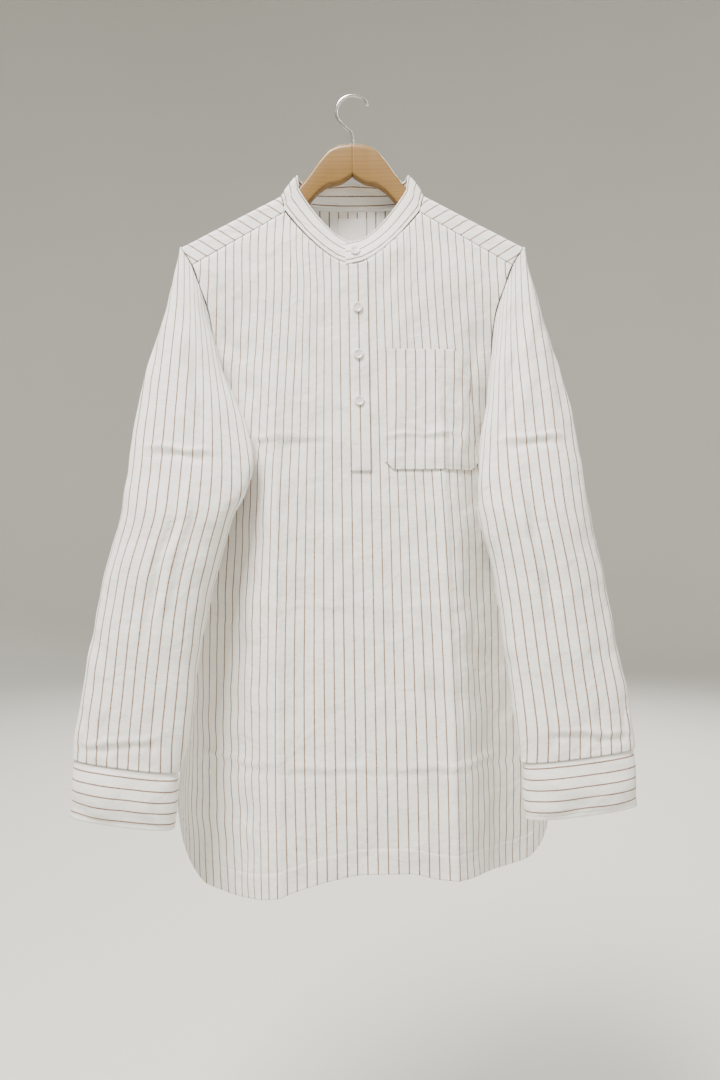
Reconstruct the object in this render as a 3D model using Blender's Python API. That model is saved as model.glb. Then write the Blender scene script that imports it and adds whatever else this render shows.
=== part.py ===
"""A short striped kurta tunic with a stand collar, hung on a two-part wooden hanger.

The garment hangs from the hanger's wire hook. X runs across the garment, Y from its front (-Y)
to its back, Z up. The origin is the inner top of the hook, where it hangs on its nail.
Tables and sizes are in millimetres and are scaled to metres when a mesh is made.
"""

import math

import bpy
import numpy as np

MM = 0.001

# Cloth and sewing
WALL = 1.2            # cloth wall
SEAM = 0.3            # air between two pieces at a seam
LAY = WALL + SEAM     # step between the middles of two plies that lie on each other

# Hanger
HOOK_WIRE = 3.5
HOOK_RADIUS = 19.5
WOOD_TOP = -56.0      # top of the wood at its middle
WOOD_HALF = 6.5       # half of the wood's thickness
WOOD_REACH = 188.0    # half of the hanger's length
ARM_FORWARD = 0.055   # how far each arm comes forward for each mm outwards

# Shoulder fold over the hanger's arms
NECK_HALF = 85.0      # half width of the neck at the shoulder
NECK_HEIGHT = -121.0  # height of the shoulder fold at the neck
SHOULDER_FALL = 0.54  # fall of the shoulder for each mm outwards
FOLD = 8.0            # radius of the shoulder fold
QUARTER = FOLD * math.pi / 2
FRONT_LEAN = 0.15     # how far the front comes forward for each mm down from the fold
BACK_LEAN = 0.06
NECK_DEEP = 14.0      # how far the neck's back stands behind the shoulder fold
YOKE_BACK = -218.0    # height of the yoke's seam on the back

# Placket and buttons
PLACKET_WIDTH = 23.0
PLACKET_END = -449.0
SLOT = 12.0           # width of the front's cut under the placket
BUTTON = 11.4
BUTTON_HEIGHT = 2.4
BUTTON_LEVELS = (-259.0, -314.0, -368.0)

# Collar band
BAND_HEIGHT = 32.0
BAND_WALL = 1.6
BAND_LIFT = 0.06      # share of its height by which the band starts above the seam
LAP = 1.5             # half of the step between its two lapped ends

# Pocket
POCKET_LEFT, POCKET_RIGHT = 36.0, 138.0
POCKET_TOP, POCKET_BOTTOM = -308.0, -447.0
POCKET_CORNER = 11.0
POCKET_MOUTH_DIP = 9.0   # how far the pocket's mouth drops towards the sleeve

# Label
LABEL_LEFT, LABEL_RIGHT = -18.0, 17.0
LABEL_START, LABEL_STOP = 21.0, 62.0   # its ways along the cloth from the shoulder fold
LABEL_WALL = 0.8

UNDERARM = -449.0
SLEEVE_TURN = math.radians(60.0)   # how far each sleeve turns forward between armhole and elbow
VENT_TOP = -790.0
YOKE_END = 186.0      # how far out the yoke's front seam meets the armhole
YOKE_END_HEIGHT = -206.0
GRAIN_HALF = 160.0    # half width over which the front's columns keep to the grain
BACK_HEM = -920.0     # lowest point of the back's hem
BACK_HEM_BOW = 22.0   # how far that hem rises towards the sides
BACK_HEM_ROUND = 48.0 # how far its rounded ends rise beyond that

# Sleeves and cuffs
BULGE_LEFT = 35.0     # how far each sleeve's fold beside the body swells over the front
BULGE_RIGHT = 8.0
BULGE_FORWARD = 9.0
CROWN_OUT = 13.0      # how far the crown of a sleeve swells outwards
CLEAR = 2.8           # least way from a sleeve to the front that it lies on, at the seam
CLEAR_BELOW = 4.0     # and how much more it is below the seam
CUFF_HEIGHT = 60.0
CUFF_WALL = 2.0
CUFF_BELLY = 4.0      # how far a cuff swells in the middle of its height
CUFF_SWING = 3.0      # how far its lower edge hangs outwards

# Heights of the level rows that the front, the back and the armholes share
LEVELS = np.array((-240.0, -265.0, -290.0, -320.0, -350.0, -375.0, -400.0, -425.0, -437.0, UNDERARM,
                   -480.0, -520.0, -565.0, -615.0, -665.0, -715.0, -765.0, -805.0, -840.0))

# Colours: linear red, green and blue
CLOTH = (0.70, 0.65, 0.57)
BUTTON_COLOUR = (0.72, 0.68, 0.60)
LABEL_COLOUR = (0.62, 0.58, 0.50)
WOOD_COLOUR = (0.45, 0.19, 0.07)
STEEL = (0.62, 0.62, 0.62)

# Armhole seam of the left side: height, how far out on the front and how far out on the back
ARMHOLE = np.array((
    # height, front, back
    (-184.0, 201.0, 201.0),
    (-206.0, 187.0, 193.0),
    (-229.0, 178.0, 186.0),
    (-265.0, 166.0, 180.0),
    (-306.0, 162.0, 177.0),
    (-350.0, 163.0, 178.0),
    (-400.0, 171.0, 187.0),
    (-430.0, 183.0, 199.0),
    (UNDERARM, 205.0, 205.0)))

# Side seams below the armholes: how far out and how far back, left and right
SIDE = np.array((
    # height, left out, left back, right out, right back
    (UNDERARM, 205.0, 12.0, 205.0, 12.0),
    (-520.0, 201.0, 9.0, 203.0, 12.0),
    (-640.0, 198.0, 4.0, 212.0, 14.0),
    (-745.0, 199.0, 0.0, 226.0, 16.0),
    (-843.0, 207.0, -2.0, 238.0, 18.0),
    (-935.0, 207.0, -3.0, 238.0, 18.0)))

# Pressed ridges of the front, and the middles of its flanks: place across and depth
RIDGES = np.array((
    # height, left flank x, y, left ridge x, y, middle y, right ridge x, y, right flank x, y
    (-200.0, -140.0, -18.0, -95.0, -23.0, -26.0, 92.0, -23.0, 140.0, -19.0),
    (-306.0, -128.0, -25.0, -90.0, -33.0, -34.0, 95.0, -32.0, 128.0, -27.0),
    (-400.0, -134.0, -26.0, -87.0, -43.0, -43.0, 101.0, -41.0, 134.0, -28.0),
    (-480.0, -142.0, -18.0, -85.0, -52.0, -50.0, 104.0, -50.0, 150.0, -24.0),
    (-600.0, -146.0, -26.0, -83.0, -63.0, -61.0, 106.0, -60.0, 158.0, -25.0),
    (-700.0, -141.0, -37.0, -81.0, -73.0, -71.0, 111.0, -69.0, 164.0, -24.0),
    (-800.0, -140.0, -43.0, -79.0, -81.0, -80.0, 113.0, -78.0, 170.0, -25.0),
    (-935.0, -139.0, -46.0, -77.0, -91.0, -87.0, 116.0, -86.0, 172.0, -28.0)))

# Hem of the front: place across as a share of the half width, and height
FRONT_HEM = np.array((
    # across, height
    (-1.00, -845.0), (-0.985, -880.0), (-0.955, -908.0), (-0.90, -925.0), (-0.80, -928.0),
    (-0.65, -921.0), (-0.40, -907.0), (-0.18, -898.0), (0.05, -892.0), (0.25, -892.0),
    (0.45, -898.0), (0.65, -900.0), (0.85, -906.0), (0.92, -904.0), (0.965, -893.0),
    (0.99, -874.0), (1.00, -850.0)))

# Neck seam from the middle of the front to the shoulder: place across and height
FRONT_NECK = np.array((
    # across, height
    (0.0, -206.0), (14.0, -205.0), (25.0, -200.5), (35.0, -193.0), (46.0, -184.0),
    (58.0, -172.0), (70.0, -156.0), (79.0, -142.0)))

# Neck edge of the yoke
YOKE_NECK = np.array((
    # across, along the cloth, across where the same grain line meets the back seam
    (79.0, -28.0, 112.0), (81.0, -18.0, 107.0), (82.5, -12.5, 103.0), (83.5, -8.0, 100.0),
    (84.2, -4.0, 97.0), (84.5, 0.0, 93.0), (83.5, 4.0, 89.0), (80.0, 8.5, 83.0),
    (70.0, 12.0, 71.0), (45.0, 12.5, 46.0), (22.0, 12.5, 22.5), (0.0, 12.5, 0.0)))

# Left sleeve below the armhole: middle, half width and half depth of each ring
SLEEVE_LEFT = np.array((
    # height, middle x, middle y, half width, half depth
    (-500.0, -194.0, -64.0, 62.0, 34.0),
    (-565.0, -211.0, -71.0, 60.5, 34.0),
    (-650.0, -226.0, -82.0, 58.5, 30.0),
    (-737.0, -236.0, -94.0, 60.0, 24.0),
    (-768.0, -242.0, -99.0, 57.0, 20.0)))
SLEEVE_RIGHT = np.array((
    # height, middle x, middle y, half width, half depth
    (-500.0, 204.0, -58.0, 62.0, 34.0),
    (-565.0, 218.0, -65.0, 60.0, 33.0),
    (-650.0, 230.0, -76.0, 60.5, 30.0),
    (-737.0, 242.0, -91.0, 62.0, 24.0),
    (-758.0, 244.0, -95.0, 61.0, 20.0)))


def smooth(at, knots, values):
    """Smooth curve through the knots, which run along the last axis.

    Each stretch is a cubic with the harmonic mean of its neighbours' slopes at its ends, so the
    curve never swings past a knot.
    """
    at = np.asarray(at, float)
    knots = np.broadcast_to(knots, at.shape + np.shape(knots)[-1:])
    values = np.broadcast_to(values, at.shape + np.shape(values)[-1:])
    step = np.diff(knots, axis=-1)
    slope = np.diff(values, axis=-1) / step
    before, after = slope[..., :-1], slope[..., 1:]
    total = np.where(before * after > 0, before + after, 1.0)
    mean = np.where(before * after > 0, 2 * before * after / total, 0.0)
    tangent = np.concatenate((slope[..., :1], mean, slope[..., -1:]), axis=-1)
    place = np.clip((at[..., None] > knots).sum(-1) - 1, 0, knots.shape[-1] - 2)[..., None]

    def take(array, shift=0):
        return np.take_along_axis(array, place + shift, -1)[..., 0]

    width = take(step)
    t = np.clip((at - take(knots)) / width, 0.0, 1.0)
    return ((1 + 2 * t) * (1 - t) ** 2 * take(values) + t * (1 - t) ** 2 * width * take(tangent)
            + t * t * (3 - 2 * t) * take(values, 1) - t * t * (1 - t) * width * take(tangent, 1))


def column(table, number, height):
    """Value of a table's column at a height; the table runs from top to bottom."""
    return smooth(-np.asarray(height, float), -table[:, 0], table[:, number])


def ease(t):
    """Soft step from 0 to 1."""
    t = np.clip(t, 0.0, 1.0)
    return t * t * (3 - 2 * t)


def fold_height(x):
    """Height of the shoulder fold."""
    return NECK_HEIGHT - SHOULDER_FALL * np.maximum(np.abs(x) - NECK_HALF, 0.0)


def arm_depth(x):
    """How far forward the hanger's arm carries the fold."""
    return -ARM_FORWARD * np.maximum(np.abs(x) - 20.0, 0.0)


def edge_out(z, side, back=False):
    """How far out the panel's edge lies: the armhole seam, then the side seam."""
    armhole = column(ARMHOLE, 2 if back else 1, z)
    seam = column(SIDE, 1 if side < 0 else 3, z)
    return np.where(z > UNDERARM, armhole, seam)


def front_depth(x, z):
    """Depth of the front's middle surface: the lean from the shoulder, then the pressed ridges."""
    drop = NECK_HEIGHT - SHOULDER_FALL * (np.abs(x) - NECK_HALF) - FOLD - z
    shoulder = arm_depth(x) - FOLD - FRONT_LEAN * drop
    row = [column(RIDGES, number, z) for number in range(1, 10)]
    edge = ease((UNDERARM + 150.0 - z) / 150.0)
    left_edge = np.where(z > UNDERARM, -17.0 + 29.0 * edge, column(SIDE, 2, z))
    right_edge = np.where(z > UNDERARM, -17.0 + 29.0 * edge, column(SIDE, 4, z))
    middle = 0.5 * (row[2] + row[5])
    knots = np.stack((-edge_out(z, -1), row[0], row[2], middle, row[5], row[7], edge_out(z, 1)), -1)
    depths = np.stack((left_edge, row[1], row[3], row[4], row[6], row[8], right_edge), -1)
    return shoulder + (smooth(x, knots, depths) - shoulder) * ease((drop - 25.0) / 110.0)


def back_depth(x, z):
    """Depth of the back's middle surface: nearly flat, in four soft waves that grow downwards."""
    drop = fold_height(x) - FOLD - z
    neck = NECK_DEEP * np.maximum(1 - (x / NECK_HALF) ** 2, 0.0) * ease(1 - drop / 160.0)
    shoulder = arm_depth(x) + FOLD + BACK_LEAN * drop + neck
    left = -edge_out(z, -1, True)
    right = edge_out(z, 1, True)
    across = (x - left) / (right - left)
    left_seam = np.where(z > UNDERARM, 12.0, column(SIDE, 2, z)) + LAY
    right_seam = np.where(z > UNDERARM, 12.0, column(SIDE, 4, z)) + LAY
    seam = left_seam + (right_seam - left_seam) * across
    open_vent = 5.0 * ease((VENT_TOP - z) / 60.0)
    growth = ease((-z - 250.0) / 500.0)
    bow = np.sin(np.pi * across)
    wave = 17.0 * bow + growth * 12.0 * np.sin(8 * np.pi * across) * bow
    return shoulder + (seam + open_vent + wave - shoulder) * ease((drop - 60.0) / 180.0)


def shoulder_point(x, along):
    """Point of the yoke: the cloth goes up the front, over the round fold, and down the back."""
    top = fold_height(x)
    turn = np.clip(along, -QUARTER, QUARTER) / FOLD
    past = np.maximum(np.abs(along) - QUARTER, 0.0)
    lean = np.where(along < 0, -FRONT_LEAN, BACK_LEAN) * past
    neck = NECK_DEEP * np.maximum(1 - (x / NECK_HALF) ** 2, 0.0) * ease(1 - past / 160.0)
    y = arm_depth(x) + FOLD * np.sin(turn) + lean + neck * ease(along / QUARTER)
    z = top - FOLD * (1 - np.cos(turn)) - past
    return np.stack((x, y, z), -1)


def normals(grid, ring=False):
    """Unit normals of a grid of points, from the cross product of its two directions."""
    if ring:
        wide = np.concatenate((grid[:, -1:], grid, grid[:, :1]), axis=1)
        across = (wide[:, 2:] - wide[:, :-2])
    else:
        across = np.gradient(grid, axis=1)
    down = np.gradient(grid, axis=0)
    cross = np.cross(across, down)
    return cross / np.linalg.norm(cross, axis=-1, keepdims=True)


def inward(surface, x, z):
    """Unit normals of the front towards the garment's inside, from small steps across and down."""
    here = surface(x, z)
    step = 0.4
    normal = np.cross(surface(x + step, z) - here, surface(x, z - step) - here)
    return normal / np.linalg.norm(normal, axis=-1, keepdims=True)


def front_point(x, z):
    """Point of the front."""
    return np.stack((x, front_depth(x, z), z), -1)


def add_object(name, points, faces, colour, roughness, metallic=0.0, flat=False):
    """Makes one named object with its own material, points in millimetres."""
    mesh = bpy.data.meshes.new(name)
    mesh.from_pydata((np.asarray(points) * MM).tolist(), [], faces)
    mesh.validate()
    if not flat:
        mesh.shade_smooth()
    material = bpy.data.materials.new(name)
    material.use_nodes = True
    shader = material.node_tree.nodes["Principled BSDF"]
    shader.inputs["Base Color"].default_value = (*colour, 1.0)
    shader.inputs["Roughness"].default_value = roughness
    shader.inputs["Metallic"].default_value = metallic
    mesh.materials.append(material)
    thing = bpy.data.objects.new(name, mesh)
    bpy.context.collection.objects.link(thing)
    return thing


def wall(name, grid, colour=CLOTH, ring=False, keep=None, thick=WALL, facing=None):
    """A cloth wall: the grid of points moved half the thickness each way, closed at its edges.

    keep says which cells of the grid are cloth; the rest are cut away. facing gives the grid's
    normals where the surface knows them better than the grid does.
    """
    rows, columns = grid.shape[:2]
    out = (normals(grid, ring) if facing is None else facing) * thick / 2
    points = np.concatenate(((grid + out).reshape(-1, 3), (grid - out).reshape(-1, 3)))
    inner = rows * columns
    faces = []
    edges = {}
    for row in range(rows - 1):
        for col in range(columns if ring else columns - 1):
            if keep is not None and not keep[row, col]:
                continue
            after = (col + 1) % columns
            cell = (row * columns + col, row * columns + after,
                    (row + 1) * columns + after, (row + 1) * columns + col)
            for half in (cell[:3], (cell[0], cell[2], cell[3])):
                faces.append(half)
                faces.append(tuple(inner + corner for corner in reversed(half)))
            for start, end in zip(cell, cell[1:] + cell[:1]):
                if (end, start) in edges:
                    del edges[(end, start)]
                else:
                    edges[(start, end)] = True
    for start, end in edges:
        faces.append((end, start, start + inner, end + inner))
    used = sorted({corner for face in faces for corner in face})
    renumber = {corner: number for number, corner in enumerate(used)}
    faces = [tuple(renumber[corner] for corner in face) for face in faces]
    return add_object(name, points[used], faces, colour, 0.9)


def solid_rings(name, rings, colour, roughness, metallic=0.0):
    """A solid through closed rings of points, with flat ends."""
    count, sides = rings.shape[:2]
    faces = [tuple(reversed(range(sides))), tuple((count - 1) * sides + k for k in range(sides))]
    for row in range(count - 1):
        for k in range(sides):
            after = (k + 1) % sides
            faces.append((row * sides + k, row * sides + after,
                          (row + 1) * sides + after, (row + 1) * sides + k))
    return add_object(name, rings.reshape(-1, 3), faces, colour, roughness, metallic)


def panel_columns(count, crowd=1.35):
    """Shares from 0 to 1 of the way out to a panel's edge, closer together towards the edge."""
    return 1 - (1 - np.linspace(0.0, 1.0, count)) ** crowd


def placket_middle(z):
    """The placket's middle line, which leans a little as the stripes do."""
    return 6.5 + 4.0 * (-206.0 - z) / 243.0


def front_top(x):
    """Height of the front's upper edge: the neck seam, then the yoke's seam."""
    out = np.abs(x)
    neck = smooth(out, FRONT_NECK[:, 0], FRONT_NECK[:, 1])
    seam = FRONT_NECK[-1, 1] - 0.6 * (out - FRONT_NECK[-1, 0])
    return np.where(out < FRONT_NECK[-1, 0], neck, seam)


def front_shares(side, count=17):
    """Shares of the way from the placket's cut out to one side, one of them at the neck's end."""
    share = panel_columns(count)
    inner = placket_middle(-206.0) + side * SLOT / 2
    corner = (FRONT_NECK[-1, 0] - side * inner) / (YOKE_END - side * inner)
    share[np.argmin(np.abs(share - corner))] = corner
    return share


def front_x(side, share, z):
    """Place across the front at a share of the way from the placket's cut to the edge.

    It keeps to the cloth's grain over most of the way, and only its outer end swings to the edge.
    """
    inner = placket_middle(z) + side * SLOT / 2
    swing = side * (edge_out(z, side) - GRAIN_HALF) - inner
    return inner + side * GRAIN_HALF * share + swing * share ** 5


def panel_rows(top, hem, upper_count):
    """Heights of a panel's rows: from its upper edge to the level rows, those, then to its hem."""
    upper = top + (LEVELS[0] - top) * np.linspace(0, 1, upper_count + 1)[:-1, None]
    level = LEVELS[:, None] * np.ones_like(top)
    lower = LEVELS[-1] + (hem - LEVELS[-1]) * np.linspace(0, 1, 4)[1:, None]
    return np.concatenate((upper, level, lower))


def front_grid():
    """Grid of the front, left to right; its two middle columns are the edges of the cut."""
    halves = []
    for side in (-1, 1):
        share = front_shares(side)
        inner = placket_middle(-206.0) + side * SLOT / 2
        top_x = inner + (side * YOKE_END - inner) * share
        top = front_top(top_x) - SEAM
        hem = smooth(side * share, FRONT_HEM[:, 0], FRONT_HEM[:, 1])
        z = panel_rows(top, hem, 4)
        x = front_x(side, share, z)
        near_top = ease((z - LEVELS[0]) / (top - LEVELS[0]))
        x = x + (top_x - front_x(side, share, top)) * near_top
        half = np.stack((x, front_depth(x, z), z), -1)
        halves.append(half[:, ::-1] if side < 0 else half)
    return np.concatenate(halves, axis=1)


def make_front():
    """The front: one panel from the yoke's seam to the shirt-tail hem, cut for the placket."""
    grid = front_grid()
    cut = grid.shape[1] // 2 - 1
    keep = np.ones((grid.shape[0] - 1, grid.shape[1] - 1), bool)
    keep[:, cut] = grid[1:, cut, 2] < PLACKET_END
    facing = inward(front_point, grid[..., 0], grid[..., 2])
    wall("front", grid, keep=keep, facing=facing)


def make_back():
    """The back: one panel from the yoke's seam to its own curved hem, a little longer."""
    out = panel_columns(16)
    across = np.concatenate((-out[::-1], out[1:]))
    hem = BACK_HEM + BACK_HEM_BOW * across ** 2 + BACK_HEM_ROUND * np.abs(across) ** 14
    top = np.full_like(across, YOKE_BACK - SEAM)
    z = panel_rows(top, hem, 1)
    left = -edge_out(z, -1, True)
    right = edge_out(z, 1, True)
    x = left + (right - left) * (across + 1) / 2
    grid = np.stack((x, back_depth(x, z), z), -1)
    wall("back", grid[:, ::-1])


def yoke_edge(along):
    """Place across where the yoke's outer edge lies, from the way along the cloth."""
    x = np.full_like(along, 195.0)
    for step in range(5):
        z = shoulder_point(x, along)[..., 2]
        x = np.where(along < 0, edge_out(z, -1), edge_out(z, -1, True))
    return x


def yoke_half(seam_count):
    """One half of the yoke: places across and ways along the cloth, a flat cut in those two.

    Its rows keep to the arc of the shoulder fold and spread evenly before and after it.
    """
    seam_x = np.linspace(YOKE_END, YOKE_NECK[0, 0], seam_count)
    seam_drop = fold_height(seam_x) - FOLD - front_top(seam_x) - SEAM
    seam_end = np.linspace(191.0, YOKE_NECK[0, 2], seam_count)
    start_x = np.concatenate((seam_x, YOKE_NECK[1:, 0]))
    start_w = np.concatenate((-(QUARTER + seam_drop), YOKE_NECK[1:, 1]))
    end_x = np.concatenate((seam_end, YOKE_NECK[1:, 2]))
    end_w = QUARTER + fold_height(end_x) - FOLD - YOKE_BACK - SEAM
    arc = QUARTER * np.array((-1.0, -0.66, -0.33, 0.0, 0.33, 0.66, 1.0))[:, None]
    lead = np.minimum(start_w, -QUARTER - 1.0)
    before = lead + (-QUARTER - lead) * np.array((0.0, 0.5))[:, None]
    after = QUARTER + (end_w - QUARTER) * np.array((0.2, 0.45, 0.72, 1.0))[:, None]
    crossing = np.concatenate((before, arc * np.ones_like(start_w), after))
    least = start_w + 0.3 * np.arange(len(crossing))[:, None]
    along = np.maximum(crossing, least)
    share = np.sqrt((along - along[0]) / (along[-1] - along[0]))
    x = start_x + (end_x - start_x) * share
    outermost = np.linspace(1.0, 0.0, seam_count) ** 2
    edge = yoke_edge(along[:, 0]) - SEAM / 2
    x[:, :seam_count] += (edge - x[:, 0])[:, None] * outermost
    return x, along


def make_yoke():
    """The yoke: one piece brought over both shoulders, from the front seams to the back seam."""
    x, along = yoke_half(8)
    x = np.concatenate((-x, x[:, -2::-1]), axis=1)
    along = np.concatenate((along, along[:, -2::-1]), axis=1)
    step = np.cross(shoulder_point(x + 6.0, along) - shoulder_point(x - 6.0, along),
                    shoulder_point(x, along + 1.0) - shoulder_point(x, along - 1.0))
    facing = step / np.linalg.norm(step, axis=-1, keepdims=True)
    wall("yoke", shoulder_point(x, along), facing=facing)


def armhole_loop(side):
    """The sleeve's upper ring: shoulder, front of the armhole, underarm, back of the armhole."""
    around = QUARTER * np.array((0.0, 0.5, 1.0))
    over_front = shoulder_point(yoke_edge(-around), -around) * (side, 1, 1)
    over_back = shoulder_point(yoke_edge(around), around) * (side, 1, 1)
    z = np.concatenate(((YOKE_END_HEIGHT, -222.0), LEVELS[LEVELS >= UNDERARM]))
    front = front_point(side * column(ARMHOLE, 1, z), z)
    back_x = side * column(ARMHOLE, 2, z)
    back = np.stack((back_x, back_depth(back_x, z), z), -1)
    front[-1, 1] = back[-1, 1] - LAY
    return np.concatenate((over_front, front, back[-2::-1], over_back[:0:-1]))


def sleeve_grid(side, table, rows_above, rows_below):
    """Grid of a sleeve: from the armhole's ring to level rounded rings that hang in front.

    Between the two, its crown swells outwards and the fold beside the body swells over the front.
    """
    swell = BULGE_LEFT if side < 0 else BULGE_RIGHT
    loop = armhole_loop(side)
    count = len(loop)
    round_share = np.arange(count) / count
    step = np.roll(loop, -1, 0) - np.roll(loop, 1, 0)
    outward = np.stack((side * np.abs(step[:, 2]), np.zeros(count), np.abs(step[:, 0])), -1)
    outward /= np.linalg.norm(outward, axis=-1, keepdims=True)
    behind = ease((round_share - 0.45) / 0.1) * ease((0.75 - round_share) / 0.2)
    loop = loop + outward * (LAY + 0.3 + 1.6 * behind)[:, None]
    lapped = ease((round_share - 0.16) / 0.2) * ease((0.56 - round_share) / 0.1)
    loop[:, 1] -= 2.4 * lapped
    angle = 2 * np.pi * round_share + SLEEVE_TURN
    levels = table[0, 0] + (table[-1, 0] - table[0, 0]) * np.linspace(0, 1, rows_below)
    below = [level_ring(side, level, [column(table, k, level) for k in range(1, 5)], angle)
             for level in levels]
    bulge = np.exp(-((round_share - 0.30) / 0.08) ** 2)
    crown = np.exp(-(np.abs((round_share - 0.42) % 1.0 - 0.5) / 0.14) ** 2)
    above = []
    for t in np.linspace(0, 1, rows_above + 1)[:-1]:
        puff = math.sin(math.pi * t)
        ring = loop + (below[0] - loop) * t ** 0.85
        ring[:, 0] += side * puff * (CROWN_OUT * crown - swell * bulge)
        ring[:, 1] -= BULGE_FORWARD * puff * bulge
        above.append(ring)
    grid = np.array(above + below)
    return clear_of_body(grid, side)


def clear_of_body(grid, side):
    """Moves the points of a sleeve that lie over the front panel to where they are clear of it."""
    x, y, z = grid[..., 0], grid[..., 1], grid[..., 2]
    clear = CLEAR + CLEAR_BELOW * ease(np.arange(len(grid)) / 4.0)[:, None]
    edge = edge_out(z, side)
    over = ease((edge + 6.0 - np.abs(x)) / 6.0)
    ahead = front_depth(side * np.minimum(np.abs(x), edge - 0.5), z) - clear
    moved = np.stack((x, y + np.minimum(ahead - y, 0.0) * over, z), -1)
    moved[0] = grid[0]
    return moved


def level_ring(side, level, sizes, angle):
    """A rounded rectangle round a sleeve's middle, tilted with the sleeve's lean."""
    middle_x, middle_y, half_width, half_depth = sizes
    power = 2.0 / 2.6
    wide = np.sign(np.cos(angle)) * np.abs(np.cos(angle)) ** power
    deep = np.sign(np.sin(angle)) * np.abs(np.sin(angle)) ** power
    x = side * half_width * wide
    tilt = -0.13 * side * ease((-500.0 - level) / 200.0)
    z = level - tilt * x
    return np.stack((middle_x + x, middle_y - half_depth * deep, z), -1)


def make_sleeve(name, side, table):
    """A long sleeve, one piece closed by its underarm seam."""
    grid = sleeve_grid(side, table, 8, 9)
    wall(name, grid if side < 0 else grid[:, ::-1], ring=True)


def cuff_grid(side, table, rows, count):
    """Grid of a cuff, which bulges in the middle of its height."""
    angle = np.linspace(0, 2 * np.pi, count, endpoint=False) + SLEEVE_TURN
    start = table[-1, 0] - 2 * SEAM
    rings = []
    for t in np.linspace(0, 1, rows):
        level = start - CUFF_HEIGHT * t
        belly = CUFF_BELLY * math.sin(math.pi * t)
        sizes = (table[-1, 1] + side * CUFF_SWING * t, table[-1, 2] - CUFF_SWING * t,
                 table[-1, 3] - 2.5 + 0.4 * belly, table[-1, 4] - 2.0 + belly)
        rings.append(level_ring(side, level, sizes, angle))
    return np.array(rings)


def make_cuff(name, side, table):
    """A closed barrel cuff."""
    grid = cuff_grid(side, table, 6, 28)
    wall(name, grid if side < 0 else grid[:, ::-1], ring=True, thick=CUFF_WALL)


def neck_half(side):
    """The neck seam of one side, from the placket's cut to the middle of the back.

    Its points are the front's columns and then the yoke's, so the three pieces meet evenly.
    """
    inner = placket_middle(-206.0) + side * SLOT / 2
    x = inner + (side * YOKE_END - inner) * front_shares(side)
    x = x[np.abs(x) <= FRONT_NECK[-1, 0] + 0.01]
    z = front_top(x)
    front = np.stack((x, front_depth(x, z), z), -1)
    back = shoulder_point(YOKE_NECK[1:, 0], YOKE_NECK[1:, 1]) * (side, 1, 1)
    return np.concatenate((front, back))


def band_rise(path, side):
    """How the band rises from the seam: inwards, back and up, over its height."""
    length = np.concatenate(((0.0,), np.cumsum(np.linalg.norm(np.diff(path, axis=0), axis=1))))
    share = length / length[-1]
    inward = smooth(share, np.array((0.0, 0.3, 0.6, 0.8, 1.0)), np.array((0.0, 11, 19, 14, 0)))
    behind = smooth(share, np.array((0.0, 0.3, 0.6, 1.0)), np.array((11.0, 8, 0, -3)))
    up = np.sqrt(BAND_HEIGHT ** 2 - inward ** 2 - behind ** 2)
    return np.stack((-side * inward, behind, up), -1)


def collar_grid(rows):
    """Grid of the stand collar, open at the front, its right end lapped over its left end."""
    right, left = neck_half(1), neck_half(-1)
    rise_right, rise_left = band_rise(right, 1), band_rise(left, -1)
    over = right[:1] + np.array(((-20.5, 0.0, -0.6), (-9.0, 0.0, -0.6)))
    under = left[:1] + np.array(((7.0, 0.0, -0.3), (14.0, 0.0, -0.3)))
    base = np.concatenate((over, right, left[-2::-1], under))
    rise = np.concatenate((rise_right[:1], rise_right[:1], rise_right, rise_left[-2::-1],
                           rise_left[:1], rise_left[:1]))
    number = np.arange(len(base))
    near_end = np.exp(-(np.minimum(number, number[::-1]) / 5.0) ** 2)
    base[:, 1] += np.where(number < len(base) / 2, -LAP, LAP) * near_end
    out = []
    for t in np.linspace(0, 1, rows):
        bow = 1.5 * math.sin(math.pi * t)
        point = base + rise * (BAND_LIFT + (1 - BAND_LIFT) * t)
        point[:, 0] -= np.sign(rise[:, 0]) * bow * (np.abs(rise[:, 0]) > 6)
        out.append(point)
    return np.array(out)


def make_collar():
    """The stand collar: a doubled and stiffened band, thicker than the cloth beside it."""
    wall("collar_band", collar_grid(4)[::-1], thick=BAND_WALL)


def lay_on_front(name, x, z, step):
    """A cloth piece on the front: its points, moved out from it by so many plies."""
    facing = inward(front_point, x, z)
    wall(name, front_point(x, z) - facing * LAY * step, facing=facing)


def front_levels(top, bottom):
    """Heights from top to bottom that keep to the front's own level rows."""
    inside = LEVELS[(LEVELS < top - 4.0) & (LEVELS > bottom + 1.5)]
    return np.concatenate(((top,), inside, (bottom,)))[:, None]


def make_placket():
    """The two placket bands: the upper one lies on the front, the under one behind its cut."""
    reach = np.array((-PLACKET_WIDTH, -SLOT, SLOT, PLACKET_WIDTH)) / 2
    z = front_levels(FRONT_NECK[0, 1] - 1.2, PLACKET_END) * np.ones_like(reach)
    lay_on_front("placket_upper", placket_middle(z) + reach, z, 1)
    lay_on_front("placket_under", placket_middle(z) + reach, z, -1)


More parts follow.
